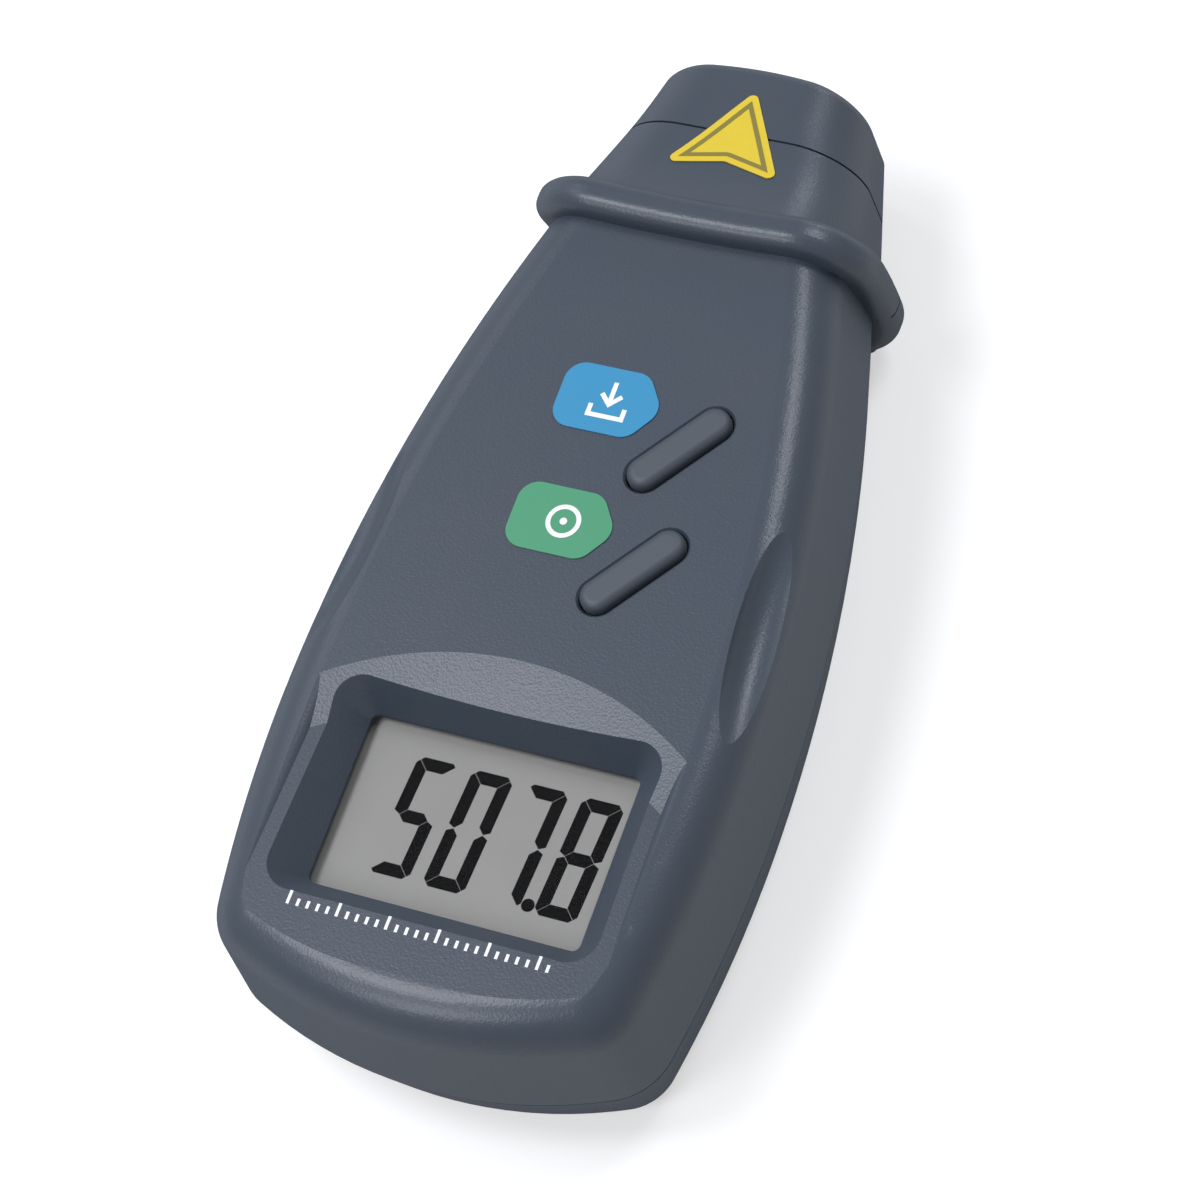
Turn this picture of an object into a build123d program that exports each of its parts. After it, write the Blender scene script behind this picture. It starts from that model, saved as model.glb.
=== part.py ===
from build123d import *
import math
import os

# Handheld laser photo tachometer. Sizes in millimetres.
# X is the width, Y runs from the rear end to the nose, Z goes up from the flat back.

# Plan outline at the widest level, where the two case halves meet
LENGTH = 158.0
WIDTH = 72.0
FACE_Z = 35.0
PARTING_Z = 14.0
WIDEST_FROM_REAR = 48.0
SIDE_RADIUS_REAR = 208.0
SIDE_RADIUS_FRONT = 270.0
REAR_END_RADIUS = 68.0
REAR_CORNER_RADIUS = 10.0
NOSE_END_RADIUS = 66.0

# Case walls
WALL = 2.0
UPPER_DRAFT = 5.5
LOWER_DRAFT = 12.0
FACE_EDGE_RADIUS = 7.0
BACK_EDGE_RADIUS = 5.5
LIP_HEIGHT = 1.2
LIP_THICKNESS = 0.9
LIP_CLEARANCE = 0.1
LIP_SETBACK = 0.1
GROOVE_WIDTH = 0.35
GROOVE_DEPTH = 0.5

# Head, from the finger ring to the nose
HEAD_WIDTH_AT_SEAM = 39.8
HEAD_TAPER = 16.7
HEAD_DRAFT = 2.0
HEAD_EDGE_RADIUS = 11.0
HEAD_TOP_AT_SEAM = 32.8
HEAD_TOP_SLOPE = 6.0
HEAD_BOTTOM_RISE = 2.0
NOSE_NARROWING = 1.5
NOSE_EDGE_RADIUS = 2.2
HEAD_ROOT = 3.7
FLARE_SECTIONS = (0.0, 0.2, 0.45, 0.7, 1.0)
FLARE_RISE = 3.7
FLARE_NARROWING = 1.0
SEAM_FROM_NOSE = 13.0
SPIGOT_LENGTH = 3.5
SPIGOT_THICKNESS = 1.2
FIT_CLEARANCE = 0.15

# Finger ring: upright at the face and swept forward down to the back
RING_FROM_NOSE = 32.5
RING_SWEEP = 3.0
RING_THICKNESS = 5.8
RING_HALF_WIDTH = 26.6
RING_RISE = 3.5
RING_BOW_RADIUS = 340.0
RING_TOP_CORNER = 11.0
RING_BOTTOM_CORNER = 11.5
RING_EDGE_RADIUS = 2.4

# Display opening, sloping bezel and the dished deck around it
DISPLAY_FROM_REAR = 33.2
DISPLAY_WIDTH = 41.2
DISPLAY_HEIGHT = 26.2
DISPLAY_CORNER = 1.2
DISPLAY_LEDGE_Z = 29.2
BEZEL_SIDE_RUN = 3.7
BEZEL_END_RUN = 2.8
BEZEL_CORNER = 4.0
BEZEL_WALL = 1.2
DECK_DEPTH = 1.25
DECK_HALF_WIDTH = 28.0
DECK_RIM_RADIUS = 2.0
DECK_RIM_ANGLE = 12.0
BROW_FROM_REAR = 56.8
BROW_RADIUS = 49.4
BROW_SLOPE = 8.1
LEDGE_THICKNESS = 0.8
WINDOW_THICKNESS = 0.9
WINDOW_MARGIN = 2.0
GLASS_THICKNESS = 2.0
GLASS_MARGIN = 2.2
FRAME_WALL = 1.6
ZEBRA_WIDTH = 2.0
SEGMENT_THICKNESS = 0.06
GLASS_GAP = 0.14
ZEBRA_LENGTH = 40.0

# Digits of the display
DIGIT_WIDTH = 6.3
DIGIT_HEIGHT = 18.0
DIGIT_PITCH = 8.42
DIGIT_STROKE = 1.85
DIGIT_SLANT = 3.5
DIGIT_GAP = 0.07
DIGIT_CORNER = 0.9
FIRST_DIGIT_X = -9.9
DIGIT_SHIFT_Y = 0.2
POINT_DIAMETER = 1.9
READING = "5078"
POINT_AFTER = 3
SEGMENTS_OF = {"0": "abcdef", "5": "acdfg", "7": "abc", "8": "abcdefg"}

# Thumb scoops in both upper edges
SCOOP_FROM_REAR = 68.4
SCOOP_DEPTH = 1.8
SCOOP_LONG_RADIUS = 70.0
SCOOP_CROSS_RADIUS = 4.8
SCOOP_TILT = 52.0

# Buttons
BUTTON_X = 10.8
MEM_BUTTON_FROM_NOSE = 65.05
BUTTON_PITCH = 19.6
BUTTON_ANGLE = 52.4
BUTTON_WIDTH = 5.0
BUTTON_LENGTH = 17.0
BUTTON_STAND = 1.4
BUTTON_CROWN_RADIUS = 1.3
BUTTON_GAP = 0.3
BUTTON_HOLE_CHAMFER = 0.35
BUTTON_FLANGE = 0.9
BUTTON_FLANGE_THICKNESS = 1.0
BUTTON_FLANGE_PLAY = 0.15
BUTTON_TRAVEL = 0.5
STEM_DIAMETER = 3.4
PLUNGER_DIAMETER = 3.4
PLUNGER_GAP = 0.25
SWITCH_SIZE = 6.0
SWITCH_HEIGHT = 3.6
PLUNGER_ABOVE = 0.9
PLUNGER_BELOW = 1.0

# Legend tags and printed marks
TAG_X = -9.6
TAG_LENGTH = 15.9
TAG_HEIGHT = 10.4
TAG_SHOULDER = 3.6
TAG_CORNER = 3.0
TAG_ABOVE_BUTTON = 5.1
LABEL_THICKNESS = 0.2
MARK_STROKE = 0.7
MARK_DOT_DIAMETER = 1.1
PRINT_THICKNESS = 0.06
AIM_X = 0.9
AIM_BASE = 18.2
AIM_HEIGHT = 15.6
AIM_CORNER = 0.9
AIM_FROM_NOSE = 4.8
AIM_NOTCH = 2.2
AIM_LINE_MARGIN = 1.0
LEGEND_FROM_REAR = 15.7
LEGEND_WIDTH = 39.0
LEGEND_MARKS = 27
LEGEND_MARK_WIDTH = 0.45
LEGEND_MARK_HEIGHT = 1.1
LEGEND_LONG_HEIGHT = 2.0
LEGEND_GROUP = 5

# Battery, its bay in the back half and the sliding door
BATTERY_LENGTH = 46.4
BATTERY_WIDTH = 26.5
BATTERY_HEIGHT = 17.5
BATTERY_EDGE = 2.0
TERMINAL_HEIGHT = 2.4
TERMINAL_DIAMETER = 6.0
TERMINAL_SPACING = 12.7
TERMINAL_SOCKET = 4.0
BAY_FROM_REAR = 9.5
BAY_CLEARANCE = 0.6
BAY_WALL = 1.5
CONTACT_THICKNESS = 0.4
CONTACT_WIDTH = 8.0
CONTACT_BUMP = 0.6
CONTACT_BUMP_DIAMETER = 3.0
DOOR_HALF_WIDTH = 15.6
DOOR_TONGUE = 1.4
DOOR_LOW_THICKNESS = 0.9
DOOR_THICKNESS = 1.85
DOOR_RECESS = 0.15
DOOR_CLEARANCE = 0.15
DOOR_OVERLAP = 4.0
DOOR_GRIP_GROOVES = 6
DOOR_GRIP_FROM_EDGE = 7.2
DOOR_GRIP_PITCH = 2.4
DOOR_GRIP_DEPTH = 0.5
PAD_HEIGHT = 3.9

# Main board and what stands on it
BOARD_THICKNESS = 1.6
BOARD_TOP_Z = 24.2
BOARD_EDGE_GAP = 1.0
BOARD_FROM_REAR = 16.0
BOARD_FROM_NOSE = 32.0
CHIP_SIZE = 10.0
CHIP_HEIGHT = 1.5
CHIP_LEADS = 11
CHIP_LEAD_PITCH = 0.8
CHIP_LEAD_WIDTH = 0.35
CHIP_LEAD_LENGTH = 1.0
CHIP_LEAD_THICKNESS = 0.2
CHIP_PLACE = (-9.0, 5.0)
CRYSTAL_LENGTH = 11.0
CRYSTAL_WIDTH = 4.6
CRYSTAL_HEIGHT = 3.6
CRYSTAL_PLACE = (-12.0, -14.0)
CAPACITOR_DIAMETER = 6.3
CAPACITOR_HEIGHT = 6.0
CAPACITOR_X = -14.0
CAPACITOR_FROM_NOSE = 55.0
SMALL_PART = (1.6, 0.8, 0.6)
SMALL_PLACES = [(-20.0, 8.0), (-20.0, 5.0), (-20.0, 2.0), (-4.0, -9.0), (-1.0, -12.0),
                (-4.0, -15.0), (-4.0, 16.0), (-4.0, 19.0)]

# Optics in the head
OPTICS_BOARD_FROM_NOSE = 30.0
OPTICS_BOARD_HALF_WIDTH = 13.0
OPTICS_BOARD_Z = (5.0, 29.5)
LASER_Z = 23.6
LASER_DIAMETER = 8.0
LASER_LENGTH = 18.0
LASER_BORE = 6.4
LASER_FROM_NOSE = 5.0
LASER_LENS_THICKNESS = 2.0
DIODE_BASE = 5.6
DIODE_CAN = 4.6
DIODE_CAN_LENGTH = 3.5
DIODE_BASE_LENGTH = 1.2
PIN_DIAMETER = 0.5
LASER_APERTURE = 5.0
SENSOR_Z = 12.4
LENS_DIAMETER = 12.0
LENS_THICKNESS = 2.4
LENS_APERTURE = 10.4
LENS_FROM_NOSE = 2.8
SENSOR_DIAMETER = 5.0
SENSOR_LENGTH = 5.5
SENSOR_DOME_RADIUS = 2.3
SENSOR_FLANGE = 5.8
SENSOR_FLANGE_LENGTH = 0.9
TUBE_WALL = 1.0
HOLDER_PLATE = 3.0
HOLDER_TUBE_WALL = 1.2
HEADER_PINS = 4
HEADER_PITCH = 2.54
HEADER_BODY = 2.5
HEADER_PIN = 0.64

# Screws
CASE_SCREW_REAR_X = 21.6
CASE_SCREW_FROM_REAR = 12.2
CASE_SCREW_FRONT_X = 15.0
CASE_SCREW_FROM_NOSE = 39.5
BOSS_DIAMETER = 7.0
CASE_SCREW_DIAMETER = 2.6
CASE_SCREW_HEAD = 4.8
CASE_SCREW_HEAD_HEIGHT = 1.8
CASE_SCREW_LENGTH = 17.0
COUNTERBORE_DEPTH = 4.0
BOARD_SCREW_REAR_X = 24.5
BOARD_SCREW_FROM_REAR = 55.5
BOARD_SCREW_FRONT_X = 17.6
BOARD_SCREW_FROM_NOSE = 49.0
BOARD_SCREW_DIAMETER = 2.0
BOARD_SCREW_HEAD = 3.8
BOARD_SCREW_HEAD_HEIGHT = 1.2
BOARD_SCREW_LENGTH = 6.0
POST_DIAMETER = 4.6
RECESS_WIDTH = 0.7
RECESS_DEPTH = 0.8
RECESS_REACH = 0.3

# Places that follow from the sizes above
FAR = 300.0
HALF_LENGTH = LENGTH / 2
WIDEST_Y = WIDEST_FROM_REAR - HALF_LENGTH
SEAM_Y = HALF_LENGTH - SEAM_FROM_NOSE
RING_TOP_Z = FACE_Z + RING_RISE
RING_REAR_Y = HALF_LENGTH - RING_FROM_NOSE
RING_LOW_Y = RING_REAR_Y + RING_SWEEP
JOIN_Y = (RING_REAR_Y + RING_THICKNESS + RING_LOW_Y) / 2
HEAD_START_Y = RING_REAR_Y + HEAD_ROOT
FLARE_LENGTH = SEAM_Y - HEAD_START_Y
DISPLAY_Y = DISPLAY_FROM_REAR - HALF_LENGTH
BROW_Y = BROW_FROM_REAR - HALF_LENGTH
SCOOP_Y = SCOOP_FROM_REAR - HALF_LENGTH
LEGEND_Y = LEGEND_FROM_REAR - HALF_LENGTH
MEM_BUTTON_Y = HALF_LENGTH - MEM_BUTTON_FROM_NOSE
AIM_FRONT_Y = HALF_LENGTH - AIM_FROM_NOSE
BAY_REAR_Y = BAY_FROM_REAR - HALF_LENGTH
BOARD_REAR_Y = BOARD_FROM_REAR - HALF_LENGTH
BOARD_FRONT_Y = HALF_LENGTH - BOARD_FROM_NOSE
CAPACITOR_PLACE = (CAPACITOR_X, HALF_LENGTH - CAPACITOR_FROM_NOSE)
OPTICS_BOARD_Y = HALF_LENGTH - OPTICS_BOARD_FROM_NOSE
LASER_FRONT_Y = HALF_LENGTH - LASER_FROM_NOSE
LENS_FRONT_Y = HALF_LENGTH - LENS_FROM_NOSE
CASE_SCREW_REAR = (CASE_SCREW_REAR_X, CASE_SCREW_FROM_REAR - HALF_LENGTH)
CASE_SCREW_FRONT = (CASE_SCREW_FRONT_X, HALF_LENGTH - CASE_SCREW_FROM_NOSE)
BOARD_SCREW_REAR = (BOARD_SCREW_REAR_X, BOARD_SCREW_FROM_REAR - HALF_LENGTH)
BOARD_SCREW_FRONT = (BOARD_SCREW_FRONT_X, HALF_LENGTH - BOARD_SCREW_FROM_NOSE)
INNER_FACE_Z = FACE_Z - WALL
BOARD_BOTTOM_Z = BOARD_TOP_Z - BOARD_THICKNESS
WINDOW_TOP_Z = DISPLAY_LEDGE_Z - LEDGE_THICKNESS
WINDOW_BOTTOM_Z = WINDOW_TOP_Z - WINDOW_THICKNESS
GLASS_TOP_Z = WINDOW_BOTTOM_Z - SEGMENT_THICKNESS - GLASS_GAP
GLASS_BOTTOM_Z = GLASS_TOP_Z - GLASS_THICKNESS
GLASS_HEIGHT = DISPLAY_HEIGHT + 2 * GLASS_MARGIN
BAY_HALF_WIDTH = BATTERY_WIDTH / 2 + BAY_CLEARANCE
BAY_FRONT_Y = BAY_REAR_Y + BATTERY_LENGTH + TERMINAL_HEIGHT + 3 * BAY_CLEARANCE
BATTERY_BOTTOM_Z = DOOR_RECESS + DOOR_THICKNESS + BAY_CLEARANCE
BAY_TOP_Z = BATTERY_BOTTOM_Z + BATTERY_HEIGHT + BAY_CLEARANCE / 2
DOOR_FRONT_Y = BAY_FRONT_Y + DOOR_OVERLAP
SWITCH_TOP_Z = BOARD_TOP_Z + SWITCH_HEIGHT
PLUNGER_TOP_Z = SWITCH_TOP_Z + PLUNGER_ABOVE


def block(x, y, z):
    """Box between two values on each axis"""
    size = [high - low for low, high in (x, y, z)]
    middle = [(high + low) / 2 for low, high in (x, y, z)]
    return Pos(*middle) * Box(*size)


def rod(x, y, low, high, diameter):
    """Upright round bar between two heights"""
    return Pos(x, y, (low + high) / 2) * Cylinder(diameter / 2, high - low)


def rod_along(x, z, rear, front, diameter):
    """Round bar along the length of the object"""
    return Pos(x, (rear + front) / 2, z) * Rot(90, 0, 0) * Cylinder(diameter / 2, front - rear)


def disc(x, y, radius):
    return Pos(x, y) * Circle(radius)


def rectangle(x, y):
    """Flat rectangle between two values on both axes"""
    return Pos((x[0] + x[1]) / 2, (y[0] + y[1]) / 2) * Rectangle(x[1] - x[0], y[1] - y[0])


def both_sides(place):
    """The same place on the right and on the left"""
    return [place, (-place[0], place[1])]


# Outer form of the body and of the head

def body_outline(inset):
    """Plan outline of the body, drawn in all round; it runs on past the finger ring"""
    front_centre = WIDTH / 2 - SIDE_RADIUS_FRONT
    rear_centre = WIDTH / 2 - SIDE_RADIUS_REAR
    front = rectangle((-WIDTH, WIDTH), (WIDEST_Y, SEAM_Y))
    rear = rectangle((-WIDTH, WIDTH), (-LENGTH, WIDEST_Y))
    for side in (1, -1):
        front = front & disc(side * front_centre, WIDEST_Y, SIDE_RADIUS_FRONT - inset)
        rear = rear & disc(side * rear_centre, WIDEST_Y, SIDE_RADIUS_REAR - inset)
    rear = rear & disc(0, REAR_END_RADIUS - HALF_LENGTH, REAR_END_RADIUS - inset)
    corners = rear.vertices().sort_by(Axis.Y)[:2]
    return fillet(corners, REAR_CORNER_RADIUS - inset) + front


def drafted(inset, height, draft):
    """Solid from the parting level to another height, its walls leaning in by the draft angle"""
    lean = abs(height - PARTING_Z) * math.tan(math.radians(draft))
    levels = [Pos(0, 0, PARTING_Z) * body_outline(inset), Pos(0, 0, height) * body_outline(inset + lean)]
    return loft(levels, ruled=True)


def body_upper(inset):
    """Body above the parting level, drawn in by inset on every side but the parting"""
    form = drafted(inset, FACE_Z - inset, UPPER_DRAFT)
    return fillet(form.faces().sort_by(Axis.Z)[-1].edges(), FACE_EDGE_RADIUS - inset)


def body_lower(inset):
    """Body below the parting level, drawn in by inset"""
    form = drafted(inset, inset, LOWER_DRAFT)
    return fillet(form.faces().sort_by(Axis.Z)[0].edges(), BACK_EDGE_RADIUS - inset)


def side_half_width(y):
    """Half of the width at the parting level"""
    centre = WIDTH / 2 - SIDE_RADIUS_FRONT
    return centre + math.sqrt(SIDE_RADIUS_FRONT**2 - (y - WIDEST_Y) ** 2)


def head_section(y, inset):
    """Cross-section of the head, whose top flares up towards the finger ring"""
    flare = FLARE_RISE * (max(SEAM_Y - y, 0) / FLARE_LENGTH) ** 2
    past_seam = max(y - SEAM_Y, 0) / SEAM_FROM_NOSE
    half = HEAD_WIDTH_AT_SEAM / 2 - (y - SEAM_Y) * math.tan(math.radians(HEAD_TAPER)) - inset
    top = HEAD_TOP_AT_SEAM - (y - SEAM_Y) * math.tan(math.radians(HEAD_TOP_SLOPE)) + flare - inset
    bottom = HEAD_BOTTOM_RISE * max(y - JOIN_Y, 0) / (HALF_LENGTH - JOIN_Y) + inset
    top_half = half - (top - PARTING_Z) * math.tan(math.radians(HEAD_DRAFT)) - FLARE_NARROWING * flare
    bottom_half = half - (PARTING_Z - bottom) * math.tan(math.radians(LOWER_DRAFT))
    right = [(bottom_half, bottom), (half, PARTING_Z), (top_half, top)]
    left = [(-x, z) for x, z in reversed(right)]
    face = make_face(Polyline(*right, *left, close=True))
    levels = face.vertices().group_by(Axis.Y)
    face = fillet(levels[-1], HEAD_EDGE_RADIUS - NOSE_NARROWING * past_seam - inset)
    face = fillet(face.vertices().group_by(Axis.Y)[0], BACK_EDGE_RADIUS - inset)
    return Plane(origin=(0, y, 0), x_dir=(1, 0, 0), z_dir=(0, -1, 0)) * face


def head(inset):
    """Whole head from inside the finger ring to the nose, drawn in by inset"""
    flare = [HEAD_START_Y + FLARE_LENGTH * share for share in FLARE_SECTIONS]
    places = [*flare, (SEAM_Y + HALF_LENGTH) / 2, HALF_LENGTH + WALL]
    form = loft([head_section(y, inset) for y in places])
    end = Pos(0, HALF_LENGTH - NOSE_END_RADIUS, 0) * Cylinder(NOSE_END_RADIUS - inset, FAR)
    return form & end


def ring_side_view():
    """Side view of the finger ring: upright at the face, then swept forward down to the back"""
    above = RING_TOP_Z + WALL
    lines = []
    for y in (RING_REAR_Y, RING_REAR_Y + RING_THICKNESS):
        start = (y, FACE_Z - RING_EDGE_RADIUS / 2)
        pull = (y, FACE_Z - RING_EDGE_RADIUS * 2)
        low_pull = (y + RING_SWEEP, PARTING_Z + RING_TOP_CORNER)
        end = (y + RING_SWEEP, PARTING_Z / 2)
        lines += [Line((y, above), start), Bezier(start, pull, low_pull, end)]
        lines.append(Line(end, (y + RING_SWEEP, -WALL)))
    lines.append(Line((RING_REAR_Y, above), (RING_REAR_Y + RING_THICKNESS, above)))
    lines.append(Line((RING_LOW_Y, -WALL), (RING_LOW_Y + RING_THICKNESS, -WALL)))
    return Plane(origin=(0, 0, 0), x_dir=(0, 1, 0), z_dir=(1, 0, 0)) * make_face(Curve(lines))


def ring():
    """Finger ring round the whole case, bowed a little towards the rear"""
    face = rectangle((-RING_HALF_WIDTH, RING_HALF_WIDTH), (0, RING_TOP_Z))
    face = fillet(face.vertices().group_by(Axis.Y)[-1], RING_TOP_CORNER)
    face = fillet(face.vertices().group_by(Axis.Y)[0], RING_BOTTOM_CORNER)
    front_view = Plane(origin=(0, 0, 0), x_dir=(1, 0, 0), z_dir=(0, -1, 0)) * face
    bar = extrude(front_view, amount=LENGTH, dir=(0, 1, 0))
    bow_axis = Axis((0, RING_REAR_Y + RING_BOW_RADIUS, 0), (0, 0, 1))
    reach = 3 * math.degrees(RING_HALF_WIDTH / RING_BOW_RADIUS)
    form = bar & revolve(ring_side_view(), bow_axis, reach).rotate(bow_axis, -reach / 2)
    rims = form.edges() - form.edges().filter_by(Axis.Y)
    return fillet(rims, RING_EDGE_RADIUS)


def above_parting():
    return block((-WIDTH, WIDTH), (-LENGTH, LENGTH), (PARTING_Z, FAR))


def below_parting():
    return block((-WIDTH, WIDTH), (-LENGTH, LENGTH), (-FAR, PARTING_Z))


def behind(y):
    return block((-WIDTH, WIDTH), (-LENGTH, y), (-FAR, FAR))


def between(rear, front):
    return block((-WIDTH, WIDTH), (rear, front), (-FAR, FAR))


# Forms cut into the upper half

def deck_front_y():
    return BROW_Y - DECK_DEPTH / math.tan(math.radians(BROW_SLOPE))


def deck_rear_y():
    return -HALF_LENGTH + face_lean() + FACE_EDGE_RADIUS


def face_lean():
    """How far the side walls have leaned in at the level of the face"""
    return (FACE_Z - PARTING_Z) * math.tan(math.radians(UPPER_DRAFT))


def deck_z(y):
    """Level of the lowered deck, which rises back to the face at the rear"""
    return FACE_Z - DECK_DEPTH * (y - deck_rear_y()) / (deck_front_y() - deck_rear_y())


def deck_across():
    """Cross-section of the space above the deck, whose sides round over into the face"""
    turn = math.radians(DECK_RIM_ANGLE)
    x = DECK_HALF_WIDTH + DECK_RIM_RADIUS * math.sin(turn)
    z = FACE_Z - DECK_RIM_RADIUS * math.cos(turn)
    foot = x - DECK_RIM_RADIUS
    low = z - DECK_DEPTH
    shoulder = z + DECK_RIM_RADIUS
    high = shoulder + DECK_DEPTH
    lines = [Line((x, high), (x, shoulder)), CenterArc((x, z), DECK_RIM_RADIUS, 90, 90)]
    lines += [Line((foot, z), (foot, low)), Line((foot, low), (-foot, low)), Line((-foot, low), (-foot, z))]
    lines += [CenterArc((-x, z), DECK_RIM_RADIUS, 0, 90), Line((-x, shoulder), (-x, high))]
    lines.append(Line((-x, high), (x, high)))
    return make_face(Curve(lines))


def deck():
    """Space above the deck round the display: a conical brow, rounded sides and a nearly level floor"""
    height = 2 * DECK_DEPTH
    low = BROW_RADIUS - DECK_DEPTH / math.tan(math.radians(BROW_SLOPE))
    high = low + height / math.tan(math.radians(BROW_SLOPE))
    brow = Pos(0, BROW_Y - BROW_RADIUS, FACE_Z - DECK_DEPTH + height / 2) * Cone(low, high, height)
    rear = Plane(origin=(0, deck_rear_y(), 0), x_dir=(1, 0, 0), z_dir=(0, -1, 0))
    sides = extrude(rear * deck_across(), amount=BROW_Y - deck_rear_y(), dir=(0, 1, 0))
    high_z = FACE_Z + DECK_DEPTH
    slope = [(deck_rear_y(), FACE_Z), (BROW_Y, deck_z(BROW_Y))]
    floor = Polyline(*slope, (BROW_Y, high_z), (deck_rear_y(), high_z), close=True)
    middle = Plane(origin=(-WIDTH / 2, 0, 0), x_dir=(0, 1, 0), z_dir=(1, 0, 0))
    return brow & sides & extrude(middle * make_face(floor), amount=WIDTH)


def well():
    """Sloping well from the deck down to the display ledge, with the opening through the ledge"""
    rim_z = FACE_Z - DECK_DEPTH
    high_z = FACE_Z + DECK_DEPTH
    stretch = (high_z - DISPLAY_LEDGE_Z) / (rim_z - DISPLAY_LEDGE_Z)
    opening = RectangleRounded(DISPLAY_WIDTH, DISPLAY_HEIGHT, DISPLAY_CORNER)
    width = DISPLAY_WIDTH + 2 * BEZEL_SIDE_RUN * stretch
    height = DISPLAY_HEIGHT + 2 * BEZEL_END_RUN * stretch
    rim = RectangleRounded(width, height, DISPLAY_CORNER + (BEZEL_CORNER - DISPLAY_CORNER) * stretch)
    slope = loft([Pos(0, DISPLAY_Y, DISPLAY_LEDGE_Z) * opening, Pos(0, DISPLAY_Y, high_z) * rim], ruled=True)
    depth = DISPLAY_LEDGE_Z - WINDOW_BOTTOM_Z
    return slope + extrude(Pos(0, DISPLAY_Y, WINDOW_BOTTOM_Z) * opening, amount=depth)


def display_block():
    """Solid plastic round the well, which also holds the window"""
    half_width = DISPLAY_WIDTH / 2 + BEZEL_SIDE_RUN + BEZEL_WALL
    half_height = DISPLAY_HEIGHT / 2 + BEZEL_END_RUN + BEZEL_WALL
    y = (DISPLAY_Y - half_height, DISPLAY_Y + half_height)
    return block((-half_width, half_width), y, (WINDOW_BOTTOM_Z, FACE_Z))


def plate_at_display(margin, low, high):
    """Flat plate behind the display opening, larger than it by the margin"""
    half_width = DISPLAY_WIDTH / 2 + margin
    half_height = DISPLAY_HEIGHT / 2 + margin
    return block((-half_width, half_width), (DISPLAY_Y - half_height, DISPLAY_Y + half_height), (low, high))


def scoop(grow):
    """Thumb scoop on the right upper edge; grow thickens it for the wall behind it"""
    turn = math.asin((SCOOP_Y - WIDEST_Y) / SIDE_RADIUS_FRONT)
    tilt = math.radians(SCOOP_TILT)
    outward = Vector(math.cos(tilt) * math.cos(turn), math.cos(tilt) * math.sin(turn), math.sin(tilt))
    along = Vector(-math.sin(turn), math.cos(turn), 0)
    edge_x = side_half_width(SCOOP_Y) - face_lean() - FACE_EDGE_RADIUS
    edge = Vector(edge_x, SCOOP_Y, FACE_Z - FACE_EDGE_RADIUS)
    centre = edge + outward * (SCOOP_LONG_RADIUS + FACE_EDGE_RADIUS - SCOOP_DEPTH)
    plane = Plane(origin=centre, x_dir=along, z_dir=outward.cross(along))
    return plane * Torus(SCOOP_LONG_RADIUS - SCOOP_CROSS_RADIUS, SCOOP_CROSS_RADIUS + grow)


def scoops(grow):
    right = scoop(grow)
    return right + mirror(right, about=Plane.YZ)


def button_centres():
    return {"mem": MEM_BUTTON_Y, "test": MEM_BUTTON_Y - BUTTON_PITCH}


def button_pill(y, z, grow):
    """Slanted pill shape of a button, grown all round"""
    shape = SlotOverall(BUTTON_LENGTH + 2 * grow, BUTTON_WIDTH + 2 * grow, rotation=BUTTON_ANGLE)
    return Pos(BUTTON_X, y, z) * shape


def button_hole(y):
    """Opening for a button, with a small chamfer at the face"""
    low = INNER_FACE_Z - WALL
    hole = extrude(button_pill(y, low, BUTTON_GAP), amount=FACE_Z + WALL - low)
    start = button_pill(y, FACE_Z - BUTTON_HOLE_CHAMFER, BUTTON_GAP)
    end = button_pill(y, FACE_Z, BUTTON_GAP + BUTTON_HOLE_CHAMFER)
    return hole + loft([start, end], ruled=True)


# Case halves and nose cap

def body_and_head(inset, upper):
    """One half of the body and of the head, joined inside the finger ring"""
    body = body_upper(inset) if upper else body_lower(inset)
    half = above_parting() if upper else below_parting()
    start = HEAD_START_Y if upper else JOIN_Y
    return (body & behind(JOIN_Y)) + (head(inset) & half & between(start, LENGTH))


def cavity(upper):
    """Space inside one half of the case"""
    return body_and_head(WALL, upper)


def outside(upper):
    """Outer form of one half of the case, up to the seam of the nose cap"""
    half = above_parting() if upper else below_parting()
    return (body_and_head(0, upper) & behind(SEAM_Y)) + (ring() & half)


def parting_band(inset, low, high):
    """Slab between two levels near the parting, drawn in by inset from the outer form"""
    slab = block((-WIDTH, WIDTH), (-LENGTH, SEAM_Y), (low, high))
    body = drafted(inset, FACE_Z, UPPER_DRAFT) + drafted(inset, 0, LOWER_DRAFT)
    return (body & slab & behind(JOIN_Y)) + (head(inset) & slab)


def case_screw_places():
    return both_sides(CASE_SCREW_REAR) + both_sides(CASE_SCREW_FRONT)


def board_screw_places():
    return both_sides(BOARD_SCREW_REAR) + both_sides(BOARD_SCREW_FRONT)


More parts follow.
